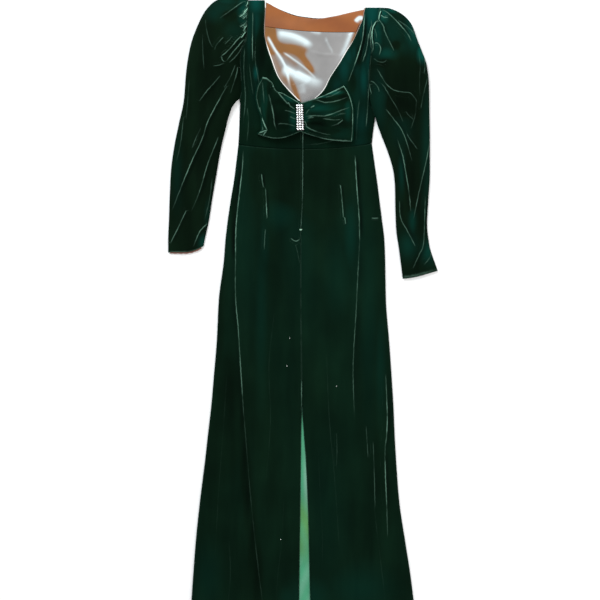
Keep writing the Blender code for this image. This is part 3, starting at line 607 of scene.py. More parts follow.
def bodice_front(side, outward, height, side_edge, neck_edge, underarm):
    """One front of the bodice, from the waist to the shoulder fold."""
    places = np.linspace(0, len(BODICE) - 1, 170)
    columns = [0, height, side_edge, neck_edge]
    level, heights, side_x, neck_x = read(BODICE, columns, places, by_row=True)
    outer = np.stack((side_x, heights), axis=1)
    inner = np.stack((neck_x + outward * SEAM_GAP / 2, heights), axis=1)
    grid, from_side, from_neck = between(outer, inner, 58)
    x, nominal = grid[..., 0], grid[..., 1]
    y = waisted(x, nominal, SEAM_GAP / 2)
    level = np.broadcast_to(level[:, None], x.shape)
    in_arm, in_v = level > underarm, level > V_POINT_Y
    rise, distance, wear_and_highlight = creased(x, y, BODICE_CREASES)
    z = bodice_height(x, level) + rise * np.clip(np.minimum(from_side, from_neck) / 8.0, 0, 1)
    # the armhole seam pulls the cloth down, the sides and the shoulder turn under, and so does the V
    z = z - ARM_DIP * in_arm * np.exp(-((from_side / 5.0) ** 2))
    z = np.where(in_arm, z, SIDE_LOW + (z - SIDE_LOW) * rolled(from_side, BODICE_FOLD))
    z = z - WAIST_DIP * np.exp(-((nominal / WAIST_REACH) ** 2))
    sewn = z - CENTRE_DIP * np.exp(-((from_neck / 6.0) ** 2))
    z = np.where(in_v, V_LOW + (z - V_LOW) * rolled(from_neck, V_FOLD), sewn)
    z = SHOULDER_LOW + (z - SHOULDER_LOW) * rolled(nominal[-1, 0] - nominal, SHOULDER_FOLD)
    # pale lines of painted highlight, with some crushed pile, along the armhole seam and the V; painted sheen
    # and shade in patches
    wear_and_highlight, distance = worn_and_highlit_edges(
        wear_and_highlight, distance, (from_side, 0.08 * in_arm, 6.0, 1.5), (from_neck, 0.12 * in_v, 5.0, 1.2),
    )
    marks = {"crease": distance, "crushed_and_highlit": wear_and_highlight, "painted_sheen": painted_sheen_and_shade(x, y, BODICE_PAINTED_SHEEN, 0.02)}
    piece = cloth("velvet_bodice_front_" + side, (x, y, z), BODICE_VELVET, VELVET_WALL, marks)
    tie(piece, ["bodice_front_" + side], "velvet",
        flat=(0.20, 0.385), held="laid", rests_on=["bodice_back"], area=0.040)


bodice_front("left", -1, 0, 2, 3, LEFT_UNDERARM)
bodice_front("right", 1, 1, 5, 4, RIGHT_UNDERARM)

# ---------------------------------------------------------------------------------------------------
# Bodice back. Velvet again, flat on the surface and scooped at the neck, its upper edge turned in
# against the facing.

BACK_NECK = np.array([
    # across, dip of the neckline below the shoulders' line
    (0.0, 0), (0.08, 1), (0.12, 3), (0.18, 11), (0.26, 22), (0.38, 33), (0.52, 36), (0.66, 28), (0.80, 15),
    (0.88, 8), (0.94, 3), (1.0, 0),
])
BODICE_BACK_CREASES = [
    ([(-100, 20), (-104, 120), (-92, 230)], 1.0, 9, 0.3),
    ([(112, 16), (106, 130), (96, 240)], 1.0, 9, 0.3),
    ([(-30, 60), (-20, 160), (-34, 260)], 0.9, 10, 0.15),
    ([(40, 30), (52, 150), (46, 260)], 0.9, 10, 0.15),
]


def bodice_back():
    """The bodice back from the waist seam to the neckline."""
    rise, t = np.meshgrid(np.linspace(0, 1, 80), np.linspace(0, 1, 80), indexing="ij")
    row = np.interp(BODICE[-1, 0] * rise, BODICE[:, 0], np.arange(len(BODICE)))
    left_y, right_y, left_x, right_x = read(BODICE, [0, 1, 2, 5], row, by_row=True)
    x = left_x + (right_x - left_x) * t
    y = left_y + (right_y - left_y) * t - read(BACK_NECK, [1], t)[0] * rise ** 3
    y = waisted(x, y, SEAM_GAP / 2)
    back_panel("velvet_bodice_back", "bodice_back", x, y, BODICE_BACK_CREASES, flat=(0.362, 0.38), area=0.118)


bodice_back()

# ---------------------------------------------------------------------------------------------------
# Back lining. Silver-grey satin, cut a little full so that it puckers across the back; the V shows
# it. Its tan patches are painted reflection of the facing beside it, and its white streaks painted
# highlights.

LINING_FOOT = 97.0
FACING_DEPTH = 62.0
SATIN_LOW = 3.0
SATIN_INSET = 8.0      # in from the armholes

LINING_CREASES = [
    ([(-84, 284), (-66, 240), (-44, 190), (-33, 155), (-25, 118)], 3.0, 6, 0),
    ([(-92, 250), (-70, 205), (-50, 160), (-36, 130)], 1.8, 6, 0),
    ([(130, 296), (115, 258), (99, 217), (84, 190)], 2.6, 6, 0),
    ([(-46, 234), (-20, 220), (10, 204), (48, 180)], 2.0, 7, 0),
    ([(18, 242), (50, 233), (80, 231), (106, 228)], 1.5, 5, 0),
    ([(6, 262), (26, 238), (40, 214)], 1.4, 6, 0),
    ([(-66, 290), (-40, 284), (-14, 276), (14, 252)], 2.4, 9, 0),
    ([(-40, 196), (-16, 182), (20, 172), (50, 160)], 2.6, 10, 0),
    ([(60, 272), (74, 252), (70, 236)], 1.3, 6, 0),
    ([(-22, 160), (-12, 140), (-4, 112)], 1.8, 5, 0),
    ([(8, 150), (22, 136), (24, 118)], 1.4, 6, 0),
    ([(96, 286), (108, 262), (116, 244)], 1.2, 5, 0),
    ([(30, 300), (34, 282), (48, 268)], 1.0, 5, 0),
]
# Painted tan reflection of the facing, and painted highlights: points along each, strength, half width.
PAINTED_TAN_REFLECTIONS = [
    ([(-96, 330), (-92, 296), (-82, 262), (-66, 228)], 2.6, 12, 0),
    ([(-78, 330), (-72, 292), (-62, 256), (-46, 226)], 2.4, 9, 0),
    ([(-74, 262), (-50, 254), (-24, 250), (0, 246), (20, 240)], 2.6, 13, 0),
    ([(-40, 256), (-12, 244), (8, 220), (24, 196), (32, 176)], 1.8, 9, 0),
    ([(-52, 240), (-38, 226), (-20, 212), (-4, 200)], 0.55, 8, 0),
    ([(-36, 186), (-26, 164), (-16, 142), (-8, 116), (-4, 96)], 1.9, 8, 0),
    ([(-84, 256), (-64, 212), (-46, 172), (-30, 140)], 0.85, 9, 0),
    ([(156, 330), (146, 300), (136, 272), (124, 250)], 1.8, 6, 0),
]
PAINTED_HIGHLIGHTS = [
    ([(-68, 288), (-46, 286), (-22, 281), (0, 272), (18, 261), (30, 250)], 1.15, 9, 0),
    ([(-50, 204), (-34, 194), (-12, 183), (14, 172), (40, 164), (60, 160)], 1.3, 11, 0),
    ([(-16, 190), (6, 176), (24, 164)], 1.0, 9, 0),
    ([(-88, 281), (-82, 270), (-68, 245), (-52, 222), (-38, 194), (-34, 170), (-26, 136)], 1.4, 3.0, 0),
    ([(-50, 240), (-36, 231), (-22, 221), (4, 202), (30, 178), (38, 170)], 0.8, 2.2, 0),
    ([(130, 296), (122, 276), (110, 246), (96, 218)], 0.95, 5.0, 0),
    ([(60, 280), (66, 262), (76, 244), (78, 232)], 0.35, 3.0, 0),
    ([(0, 160), (4, 146), (6, 130)], 0.35, 9, 0),
    ([(20, 296), (36, 290), (52, 288)], 0.5, 4, 0),
]


def shoulders(t):
    """The height between the shoulders, from the left one, 0, to the right one, 1."""
    return BODICE[-1, 0] * (1 - t) + BODICE[-1, 1] * t


def lining_top(t):
    """Where the lining meets the facing, from shoulder to shoulder."""
    return shoulders(t) - FACING_DEPTH - 8.0 * np.sin(math.pi * t)


def satin_edges(y):
    """The satin's two sides at a height, just inside the armholes."""
    left, right = read(BODICE, [2, 5], y)
    return left + SATIN_INSET, right - SATIN_INSET


def back_lining():
    """The lining with its puckers, its painted tan reflection and its painted highlights."""
    rise, t = np.meshgrid(np.linspace(0, 1, 100), np.linspace(0, 1, 150), indexing="ij")
    top = lining_top(t)
    y = LINING_FOOT + (top - SEAM_GAP - LINING_FOOT) * rise
    left, right = satin_edges(y)
    x = left + (right - left) * t
    calm = np.clip((top - y) / 8.0, 0.1, 1)
    puckers = calm * (creased(x, y, LINING_CREASES)[0] + 0.5 * (1 + ripple(x * 2.1, y * 2.3)))
    # it lies low where the fronts cover it
    left_neck, right_neck = read(BODICE, [3, 4], y)
    shown = np.clip(np.minimum(x - left_neck, right_neck - x) / 6.0 + 0.2, 0, 1)
    z = SATIN_LOW + (0.1 + puckers) * shown
    marks = {key: np.clip(creased(x, y, places)[0], 0, 1) for key, places in (("tone_and_reflection", PAINTED_TAN_REFLECTIONS), ("painted_highlight", PAINTED_HIGHLIGHTS))}
    # the second shade, tan, is the painted reflection of the facing
    grey = satin("acetate_satin_silver", "#8B8988", "#825218", 0.26)
    piece = cloth("satin_back_lining", (x, y, z), grey, SATIN_WALL, marks)
    tie(piece, ["back_lining"], "satin_grey",
        flat=(0.33, 0.215), held="laid", rests_on=["velvet_bodice_back"], area=0.062)


back_lining()

# ---------------------------------------------------------------------------------------------------
# Neck facing. A band of tan satin sewn inside the back neckline, its edge understitched so that it
# rolls in, and its foot seamed to the lining.

# Painted highlight: points along the place, strength, half width.
FACING_PAINTED_HIGHLIGHTS = [([(134, 316), (146, 327), (160, 324)], 1.8, 5, 0)]


def neck_facing():
    """The facing from its seam with the lining up to the neckline."""
    rise, t = np.meshgrid(np.linspace(0, 1, 36), np.linspace(0.12, 0.91, 130), indexing="ij")
    top = shoulders(t) - read(BACK_NECK, [1], t)[0] - 0.9
    foot = lining_top(t) + SEAM_GAP
    y = foot + (top - foot) * rise
    left, right = satin_edges(y)
    x = left + (right - left) * t
    z = 3.1 + 0.35 * (1 + np.sin(x / 19.0 + 2 * np.sin(y / 17.0))) * np.sin(math.pi * rise)
    z = 1.8 + (z - 1.8) * rolled((1 - rise) * (top - foot), 3.5)
    tone_and_reflection = 0.5 + 0.5 * np.sin(x / 31.0 + y / 13.0)
    # a painted highlight near the right shoulder
    painted_highlight = np.clip(creased(x, y, FACING_PAINTED_HIGHLIGHTS)[0], 0, 1)
    tan = satin("acetate_satin_tan", "#965624", "#85491F", 0.40, 0.45)
    piece = cloth("satin_neck_facing", (x, y, z), tan, SATIN_WALL, {"tone_and_reflection": tone_and_reflection, "painted_highlight": painted_highlight})
    tie(piece, ["neck_facing"], "satin_tan",
        flat=(0.262, 0.078), held="laid", rests_on=["velvet_bodice_back"], area=0.0115)


neck_facing()

# ---------------------------------------------------------------------------------------------------
# Neck edges. The fronts' satin lining is sewn edge to edge with the velvet and turned, and rolls
# out past it along the V as a thin pale line, its near-white colour a painted highlight on the grey satin.

EDGE_UNDER = 5.5
# near-white: a painted highlight on the grey satin's edge
EDGE_SATIN_PAINTED_HIGHLIGHT = satin("acetate_satin_painted_highlight", "#F4F2EC", "#7A4D30", 0.3)


def neck_edge(side, outward, height, neck, first_row, shows):
    """The rolled edge of one front's lining, from just above the V's point to the shoulder."""
    places = np.linspace(first_row, len(BODICE) - 1.06, 190)
    y, x = read(BODICE, [height, neck], places, by_row=True)
    slope = np.gradient(np.stack((x, y), axis=1), axis=0)
    slope /= np.linalg.norm(slope, axis=1)[:, None]
    out_x, out_y = -outward * slope[:, 1:], outward * slope[:, :1]
    # round the roll from under the edge to over it, and last the tuck under the velvet
    turns = np.linspace(-0.35, 1.0, 12) * math.pi
    show = shows * (0.85 + 0.15 * np.sin(np.arange(len(x)) / 9.0))[:, None]
    out = np.maximum(np.sin(turns * 0.5 + math.pi / 4) * show - 0.4, -2.0)
    out = np.concatenate((out, np.full((len(x), 1), -EDGE_UNDER)), axis=1)
    z = np.broadcast_to(np.append(3.9 - 0.75 * np.cos(turns), 4.5), out.shape)
    tone_and_reflection = np.clip((y - 250.0) / 22.0, 0, 0.85) * (1 - 0.9 * (y > 352.0))
    marks = {"tone_and_reflection": np.repeat(tone_and_reflection, out.shape[1])}
    rolls = (x[:, None] + out_x * out, y[:, None] + out_y * out, z)
    piece = cloth("satin_neck_edge_" + side, rolls, EDGE_SATIN_PAINTED_HIGHLIGHT, 0.35, marks)
    tie(piece, ["neck_edge_" + side], "satin_grey",
        flat=(0.0105, 0.29), held="folded", rests_on=["velvet_bodice_front_" + side])


neck_edge("left", -1, 0, 3, 3.6, 2.75)
neck_edge("right", 1, 1, 4, 4.05, 1.98)

# ---------------------------------------------------------------------------------------------------
# Sleeves. Leg-of-mutton sleeves of the same velvet, each cut in one piece, sewn down the inner arm,
# its puffed head gathered into the armhole and its long cuff tapered. They lie flattened.

# Each section from the outer edge over the arm to the inner edge, and its height.
LEFT_SLEEVE = np.array([
    # outer x, outer y, inner x, inner y, height
    (-135, 371, -159, 119, 10),
    (-160, 379, -161, 118, 18),
    (-192, 380, -164, 116, 26),
    (-222, 368, -168, 112, 31),
    (-246, 344, -172, 107, 34),
    (-268, 301, -178, 98, 34),
    (-284, 255, -183, 85, 30),
    (-295, 190, -190, 62, 25),
    (-301, 117, -196, 36, 20),
    (-314, 55, -203, 8, 16),
    (-326, -5, -211, -32, 13),
    (-334, -66, -219, -80, 11),
    (-337, -127, -228, -132, 9.5),
    (-339, -189, -237, -190, 8.5),
    (-341, -240, -246, -232, 7.5),
    (-341, -272, -251, -256, 7.0),
])
RIGHT_SLEEVE = np.array([
    # outer x, outer y, inner x, inner y, height
    (200, 352, 186, 74, 10),
    (218, 351, 188, 69, 18),
    (240, 344, 189, 64, 25),
    (262, 330, 191, 57, 30),
    (280, 308, 194, 48, 33),
    (294, 270, 198, 38, 33),
    (306, 240, 203, 24, 30),
    (318, 205, 210, 7, 26),
    (324, 150, 218, -14, 21),
    (325, 80, 226, -38, 17),
    (326, 10, 233, -66, 14),
    (326, -66, 237, -104, 12),
    (322, -140, 238, -158, 10),
    (319, -200, 240, -212, 9),
    (324, -250, 247, -262, 8),
    (346, -319, 257, -339, 7.5),
])
LEFT_SLEEVE_CREASES = [
    ([(-139, 363), (-147, 367), (-158, 360), (-181, 342), (-209, 321)], 3.4, 6, 0.48),
    ([(-138, 368), (-139, 360), (-143, 354)], 2.4, 3.0, 2.2),
    ([(-136, 352), (-142, 345), (-150, 336)], 3.0, 3.0, 2.6),
    ([(-137, 345), (-143, 339), (-152, 331), (-160, 326)], 2.8, 3.0, 1.4),
    ([(-138, 333), (-143, 330), (-148, 322)], 2.6, 3.0, 2.2),
    ([(-138, 328), (-146, 326), (-150, 320)], 2.4, 3.0, 1.6),
    ([(-139, 318), (-147, 308), (-158, 300)], 2.6, 3.4, 0.70),
    ([(-138, 309), (-142, 303), (-148, 295)], 2.8, 3.0, 2.8),
    ([(-140, 303), (-146, 296), (-150, 289)], 2.6, 3.0, 1.8),
    ([(-142, 291), (-148, 282), (-155, 273)], 2.8, 3.4, 2.0),
    ([(-152, 281), (-166, 265), (-180, 247), (-196, 230), (-205, 225)], 2.8, 5, 0.52),
    ([(-192, 211), (-178, 231), (-161, 253), (-146, 272)], 2.6, 4, 0.50),
    ([(-148, 259), (-158, 240), (-172, 220), (-186, 208)], 2.4, 4, 0.40),
    ([(-176, 276), (-186, 264), (-196, 254)], 2.0, 4, 0.20),
    ([(-204, 224), (-200, 212), (-192, 210)], 1.8, 4, 0.34),
    ([(-197, 206), (-210, 201), (-226, 199)], 2.0, 5, 0.30),
    ([(-199, 273), (-210, 260), (-218, 250), (-221, 238)], 2.2, 6, 0.34),
    ([(-214, 112), (-232, 86), (-246, 62), (-266, 26), (-282, -14)], 2.4, 6, 0.22),
    ([(-245, 320), (-242, 292), (-234, 262), (-222, 240)], 2.4, 9, 0.11),
    ([(-252, 285), (-251, 235), (-248, 190)], 2.4, 10, 0.10),
    ([(-163, 200), (-166, 180), (-171, 163), (-182, 130)], 2.6, 6, 0.37),
    ([(-198, 143), (-184, 166), (-174, 190), (-168, 206)], 2.0, 5, 0.18),
    ([(-206, 176), (-222, 157), (-238, 140), (-262, 110)], 2.8, 8, 0.26),
    ([(-186, 156), (-202, 128), (-238, 62), (-254, 15), (-279, -38), (-306, -102), (-332, -168)],
     3.6, 9, 0.45),
    ([(-212, 23), (-240, -48), (-255, -100), (-269, -139), (-283, -170)], 3.0, 9, 0.40),
    ([(-300, 80), (-309, 5), (-320, -43)], 2.4, 8, 0.14),
    ([(-286, 170), (-292, 96), (-296, 50)], 2.2, 9, 0.08),
    ([(-293, -162), (-313, -205), (-336, -250)], 2.4, 7, 0.42),
    ([(-240, -197), (-259, -217), (-268, -236), (-277, -258)], 2.2, 7, 0.40),
    ([(-228, -80), (-236, -140), (-248, -190)], 1.8, 7, 0.13),
    ([(-170, 318), (-205, 282), (-232, 230), (-240, 170)], -2.6, 13, 0.00),
    ([(-200, 200), (-232, 120), (-262, 40)], -2.4, 12, 0.00),
]
RIGHT_SLEEVE_CREASES = [
    ([(203, 346), (214, 341), (228, 328), (250, 304), (269, 280), (278, 262)], 3.4, 6, 0.50),
    ([(222, 336), (239, 320), (254, 311), (269, 300), (290, 279)], 3.0, 6, 0.50),
    ([(201, 344), (198, 336), (196, 328), (196, 320)], 2.6, 3.2, 2.6),
    ([(199, 334), (208, 327), (220, 325)], 2.8, 3.6, 0.80),
    ([(194, 322), (200, 314), (206, 304), (210, 296)], 2.8, 3.2, 1.60),
    ([(196, 318), (204, 306), (213, 281), (229, 247), (234, 236)], 3.2, 6, 0.50),
    ([(190, 318), (184, 308), (179, 296), (178, 278), (181, 256), (180, 238)], 1.6, 3.4, 1.70),
    ([(184, 300), (188, 286), (190, 270)], 2.4, 4, 0.16),
    ([(182, 258), (190, 260), (197, 254), (200, 244), (196, 228)], 2.6, 4, 0.74),
    ([(179, 248), (173, 240), (175, 226)], 1.8, 4, 0.40),
    ([(182, 222), (192, 213), (206, 210), (216, 216)], 2.4, 6, 0.18),
    ([(190, 196), (200, 176), (214, 153), (232, 138), (257, 133), (275, 131), (289, 115), (296, 100)],
     3.4, 8, 0.27),
    ([(257, 58), (241, 92), (224, 119), (210, 144), (194, 166)], 2.6, 6, 0.22),
    ([(174, 164), (182, 160), (192, 148), (197, 134)], 2.4, 5, 0.40),
    ([(172, 158), (173, 144), (178, 130)], 2.0, 5, 0.29),
    ([(303, 256), (311, 236), (313, 206), (310, 180)], 2.8, 6, 0.37),
    ([(322, 182), (314, 150), (306, 118), (302, 90)], 2.6, 7, 0.26),
    ([(296, 240), (300, 205), (298, 150), (303, 100)], 2.4, 9, 0.10),
    ([(212, 92), (232, 66), (252, 40), (266, 7), (280, -40)], 3.2, 7, 0.34),
    ([(262, 86), (272, 74), (284, 64)], 2.0, 6, 0.22),
    ([(277, -172), (273, -126), (264, -69), (256, -27), (241, 20)], 2.6, 7, 0.40),
    ([(294, -10), (277, 12), (262, 35)], 2.4, 6, 0.18),
    ([(326, 20), (318, -30), (298, -117), (283, -191)], 3.0, 9, 0.32),
    ([(290, 120), (288, 80), (276, 40)], 2.2, 8, 0.11),
    ([(248, -139), (251, -184), (268, -217), (290, -259)], 2.6, 8, 0.44),
    ([(314, -126), (312, -194), (309, -252), (298, -278), (281, -316)], 2.8, 8, 0.30),
    ([(330, -262), (326, -284), (310, -304)], 2.0, 7, 0.21),
    ([(236, 250), (258, 210), (262, 160), (252, 140)], -3.0, 15, 0.00),
    ([(240, 20), (252, -60), (256, -120)], -2.2, 12, 0.00),
    ([(214, 300), (240, 270), (262, 240)], -2.4, 10, 0.00),
]
# Painted sheen where the pile leans back, and painted shade where the amount is below 0: centre, half width,
# half height and how far.
LEFT_SLEEVE_PAINTED_SHEEN = [
    (-148, 345, 14, 38, 0.60), (-205, 345, 40, 30, 0.20), (-222, 335, 20, 24, 0.20),
    (-170, 290, 30, 26, 0.14), (-236, 170, 44, 90, -0.22), (-256, -30, 16, 100, -0.30),
    (-186, 330, 14, 10, -0.35), (-251, -246, 12, 18, 0.45), (-318, -60, 12, 90, 0.12),
    (-192, 366, 26, 10, 0.30), (-240, -170, 10, 40, 0.16),
]
RIGHT_SLEEVE_PAINTED_SHEEN = [
    (206, 332, 15, 24, 0.85), (226, 345, 18, 9, 0.75), (288, 292, 24, 44, 0.80), (305, 236, 11, 20, 1.60),
    (190, 280, 14, 50, 0.50), (214, 233, 24, 15, 0.50), (228, 290, 40, 50, 0.22),
    (262, 250, 26, 22, 0.16), (196, 120, 22, 70, 0.24), (250, 40, 30, 50, 0.14), (318, 0, 14, 150, 0.22),
    (238, 254, 9, 9, -0.35), (258, 165, 40, 34, -0.30), (252, 104, 28, 22, -0.55),
    (212, 208, 14, 9, -0.30), (280, -100, 10, 60, -0.5), (322, -268, 18, 28, 0.45),
    (270, -254, 22, 32, 0.30), (281, -186, 9, 36, 0.40), (254, -65, 8, 50, 0.30),
]
SLEEVE_CROWN = 0.45
LEFT_CUFF_BOW, RIGHT_CUFF_BOW = 8.0, 3.0
SLEEVE_FOLD, CUFF_LOW, UNDERSIDE = 2.8, 2.4, 0.05     # heights at the folds, the cuff and below
HEAD_ROW, CUFF_ROW = 24.0, 22.0     # from one section to the next at the head and the cuff

SLEEVE_VELVET = velvet("rayon_velvet_sleeve", ("#030C05", "#0A1D10"), "#053F36", 0.13)


def sleeve(side, outward, sections, seam_column, height_column, underarm_row, cuff_bow, creases, painted_sheen_spots):
    """A sleeve as a flattened tube from the armhole to the cuff."""
    last = len(sections) - 1
    places = np.concatenate((np.linspace(0, 5, 110, endpoint=False), np.linspace(5, last, 130)))[:, None]
    outer_x, outer_y, inner_x, inner_y, height = read(sections, slice(None), places, by_row=True)
    at_seam = -outward * 0.2 * np.clip(1 - places / 0.4, 0, 1)
    outer_x, inner_x = outer_x + at_seam, inner_x + at_seam
    # the first sections follow the curve of the armhole, and the last ones the bow of the cuff
    seam_x, seam_y = BODICE[underarm_row:, [seam_column, height_column]][::-1].T
    across = (seam_y - seam_y[0]) / (seam_y[-1] - seam_y[0])
    curve = seam_x - (seam_x[0] + (seam_x[-1] - seam_x[0]) * across)
    keep = np.clip(1 - places / 4, 0, 1) ** 2
    droop = cuff_bow * np.clip((places - 13.6) / 1.4, 0, 1) ** 2

    def place(t):
        bend = smooth(across, curve, t.ravel()).reshape(t.shape) * keep
        x = outer_x + (inner_x - outer_x) * t + bend
        y = outer_y + (inner_y - outer_y) * t - droop * np.sin(math.pi * t ** 1.4)
        return x, y

    t = np.tile(0.5 - 0.5 * np.cos(np.linspace(0, math.pi, 84)), (len(places), 1))
    x, y = place(t)
    rise, distance, wear_and_highlight = creased(x, y, creases)
    # the eased head: uneven gathers that fade down the sleeve
    gathers = np.sin(2 * math.pi * (15 * t + 0.5 * np.sin(9 * t) + 0.16 * np.sin(31 * t)))
    gathers = 1.9 * gathers * np.exp(-(places / 1.3) ** 2) * np.clip(1.35 - 1.6 * t, 0, 1)
    crown = (4 * t * (1 - t)) ** SLEEVE_CROWN
    z = SLEEVE_FOLD + (height - SLEEVE_FOLD) * crown
    z = z + (rise + gathers + 1.1 * ripple(x * 1.3, y * 1.1)) * np.clip(crown * 1.2, 0, 1) ** 2
    from_cuff = (last - places) * CUFF_ROW
    z = CUFF_LOW + (z - CUFF_LOW) * (0.55 + 0.45 * rolled(from_cuff, 4.0))
    # back along the surface from the inner fold to the outer one
    inset = 3.2 / np.hypot(inner_x - outer_x, inner_y - outer_y)
    low_x, low_y = place(1 - (inset + (1 - 2 * inset) * np.linspace(0, 1, 22)))
    turn_x, turn_y = place(np.concatenate((1 - inset * 0.25, inset * 0.25), axis=1))
    low_z, turn_z = np.full(low_x.shape, UNDERSIDE), np.full((len(places), 1), 1.1)
    tube_x = np.concatenate((x, turn_x[:, :1], low_x, turn_x[:, 1:]), axis=1)
    tube_y = np.concatenate((y, turn_y[:, :1], low_y, turn_y[:, 1:]), axis=1)
    tube_z = np.concatenate((z, turn_z, low_z, turn_z), axis=1)
    # pale lines of painted highlight, with some crushed pile, along the armhole seam and the cuff's turned
    # edge
    head_wear_and_highlight = 0.25 * np.clip(1.2 - 1.6 * t, 0, 1)
    edges = ((places * HEAD_ROW, head_wear_and_highlight, 5.0, 1.2), (from_cuff, 0.2, 5.0, 1.0))
    wear_and_highlight, distance = worn_and_highlit_edges(wear_and_highlight, distance, *edges)
    under = np.ones((len(places), tube_x.shape[1] - x.shape[1]))
    # the underside takes an even painted sheen
    marks = {
        "crease": np.concatenate((distance, FAR_OFF * under), axis=1),
        "crushed_and_highlit": np.concatenate((wear_and_highlight, 0 * under), axis=1),
        "painted_sheen": np.concatenate((painted_sheen_and_shade(x, y, painted_sheen_spots, 0.0), 0.1 * under), axis=1),
    }
    places_on_tube = (tube_x, tube_y, tube_z)
    piece = cloth("velvet_sleeve_" + side, places_on_tube, SLEEVE_VELVET, VELVET_WALL, marks, ring=True)
    tie(piece, ["sleeve_" + side, "sleeve_under_" + side], "velvet",
        flat=(0.44, 0.68), held="laid", rests_on=["floor"], area=0.21)


sleeve("left", -1, LEFT_SLEEVE, 2, 0, 4, LEFT_CUFF_BOW, LEFT_SLEEVE_CREASES, LEFT_SLEEVE_PAINTED_SHEEN)
sleeve("right", 1, RIGHT_SLEEVE, 5, 1, 2, RIGHT_CUFF_BOW, RIGHT_SLEEVE_CREASES, RIGHT_SLEEVE_PAINTED_SHEEN)

# ---------------------------------------------------------------------------------------------------
# Left cuff's lining. A few millimetres of the sleeve's red-brown satin lining have slipped past the
# cuff's edge.


def cuff_lining():
    """A rolled strip of satin along the left cuff."""
    t, out = np.meshgrid(np.linspace(0.06, 0.94, 90), np.linspace(0, 1, 14), indexing="ij")
    outer, inner = LEFT_SLEEVE[-1, :2], LEFT_SLEEVE[-1, 2:4]
    past = -12.0 + 15.5 * np.minimum(out * 1.25, 1) + 0.4 * np.sin(t * 40)
    x = outer[0] + (inner[0] - outer[0]) * t + past * 0.14
    y = outer[1] + (inner[1] - outer[1]) * t - past - LEFT_CUFF_BOW * np.sin(math.pi * t ** 1.4)
    z = 2.9 + 0.5 * np.sin(t * 23 + 2 * np.sin(t * 11)) - 0.9 * np.clip(out * 5 - 4, 0, 1)
    red = satin("acetate_satin_russet", "#7A4634", "#5C3226", 0.36)
    piece = cloth("satin_cuff_lining_left", (x, y, z), red, 0.5)
    tie(piece, ["cuff_lining_left"], "satin_brown",
        flat=(0.082, 0.0165), held="laid", rests_on=["velvet_sleeve_left"])


cuff_lining()

# ---------------------------------------------------------------------------------------------------
# Concealed zip. A nylon coil zip on woven tape, sewn behind the centre seam from the V's point, and
# closed; its foot is held by a bar tack worked through the seam in bright thread.

ZIP_CENTRE = np.array([(96, 0.2), (40, 1.0), (-40, 2.0), (-135, 1.0), (-214, -3.0)], float)
TACK = (-3.0, -214.0)
TAPE_HALF = 11.0
COIL_LENGTH, COIL_PITCH, COIL_HALF = 300, 2.2, 1.7


def plain_material(name, colour, rough, settings=None, scale=600.0, depth=0.0002):
    """A fine-grained material: a colour a little uneven, over a fine grain."""
    material, tree, place = fresh(name)
    variation = add(tree, "TexNoise", {"Scale": scale, "Detail": 3.0}, place)
    limits = {"From Min": 0.3, "From Max": 0.7, "To Min": 0.8, "To Max": 1.1}
    tone = add(tree, "MapRange", limits, {"Value": variation})
    multiply = {"data_type": "RGBA", "blend_type": "MULTIPLY", 0: 1.0, 6: linear(colour)}
    shaded = add(tree, "Mix", multiply, {7: tone}, 2)
    bump = add(tree, "Bump", {"Strength": 0.4, "Distance": depth}, {"Height": variation})
    settings = {"Roughness": rough, **(settings or {})}
    shader = add(tree, "BsdfPrincipled", settings, {"Base Color": shaded, "Normal": bump})
    add(tree, "OutputMaterial", None, {"Surface": shader})
    return material


def plain_piece(name, parts, material):
    """One mesh of several shapes, each its points in millimetres and its faces."""
    points, faces = [], []
    for part_points, part_faces in parts:
        faces.extend([len(points) + int(i) for i in face] for face in part_faces)
        points.extend((np.asarray(part_points) * MM).tolist())
    mesh = bpy.data.meshes.new(name)
    mesh.from_pydata(points, [], faces)
    mesh.shade_smooth()
    mesh.materials.append(material)
    piece = bpy.data.objects.new(name, mesh)
    bpy.context.scene.collection.objects.link(piece)
    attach(piece, "root")
    return piece


def stacked(rings):
    """Points and faces of a closed shape from rings of points, one after another."""
    count, sides = rings.shape[:2]
    faces = [tuple(range(sides))[::-1], tuple(range((count - 1) * sides, count * sides))]
    for i in range(count - 1):
        for j in range(sides):
            k = (j + 1) % sides
            faces.append((i * sides + j, i * sides + k, (i + 1) * sides + k, (i + 1) * sides + j))
    return rings.reshape(-1, 3), faces


def tube(line, radius, sides=6):
    """Points and faces of a round thread along a line, closed at both ends."""
    line = np.array(line, float)
    along = np.gradient(line, axis=0)
    along /= np.linalg.norm(along, axis=1)[:, None]
    helper = np.where(np.abs(along[:, 2:3]) < 0.9, [[0.0, 0.0, 1.0]], [[1.0, 0.0, 0.0]])
    first = np.cross(along, helper)
    first /= np.linalg.norm(first, axis=1)[:, None]
    second = np.cross(along, first)
    turn = (np.arange(sides) * 2 * math.pi / sides)[None, :, None]
    return stacked(line[:, None] + radius * (first[:, None] * np.cos(turn) + second[:, None] * np.sin(turn)))


def zip_x(y):
    """Where the zip runs across at a height."""
    return smooth(-ZIP_CENTRE[:, 0], ZIP_CENTRE[:, 1], -y)[:, 0]


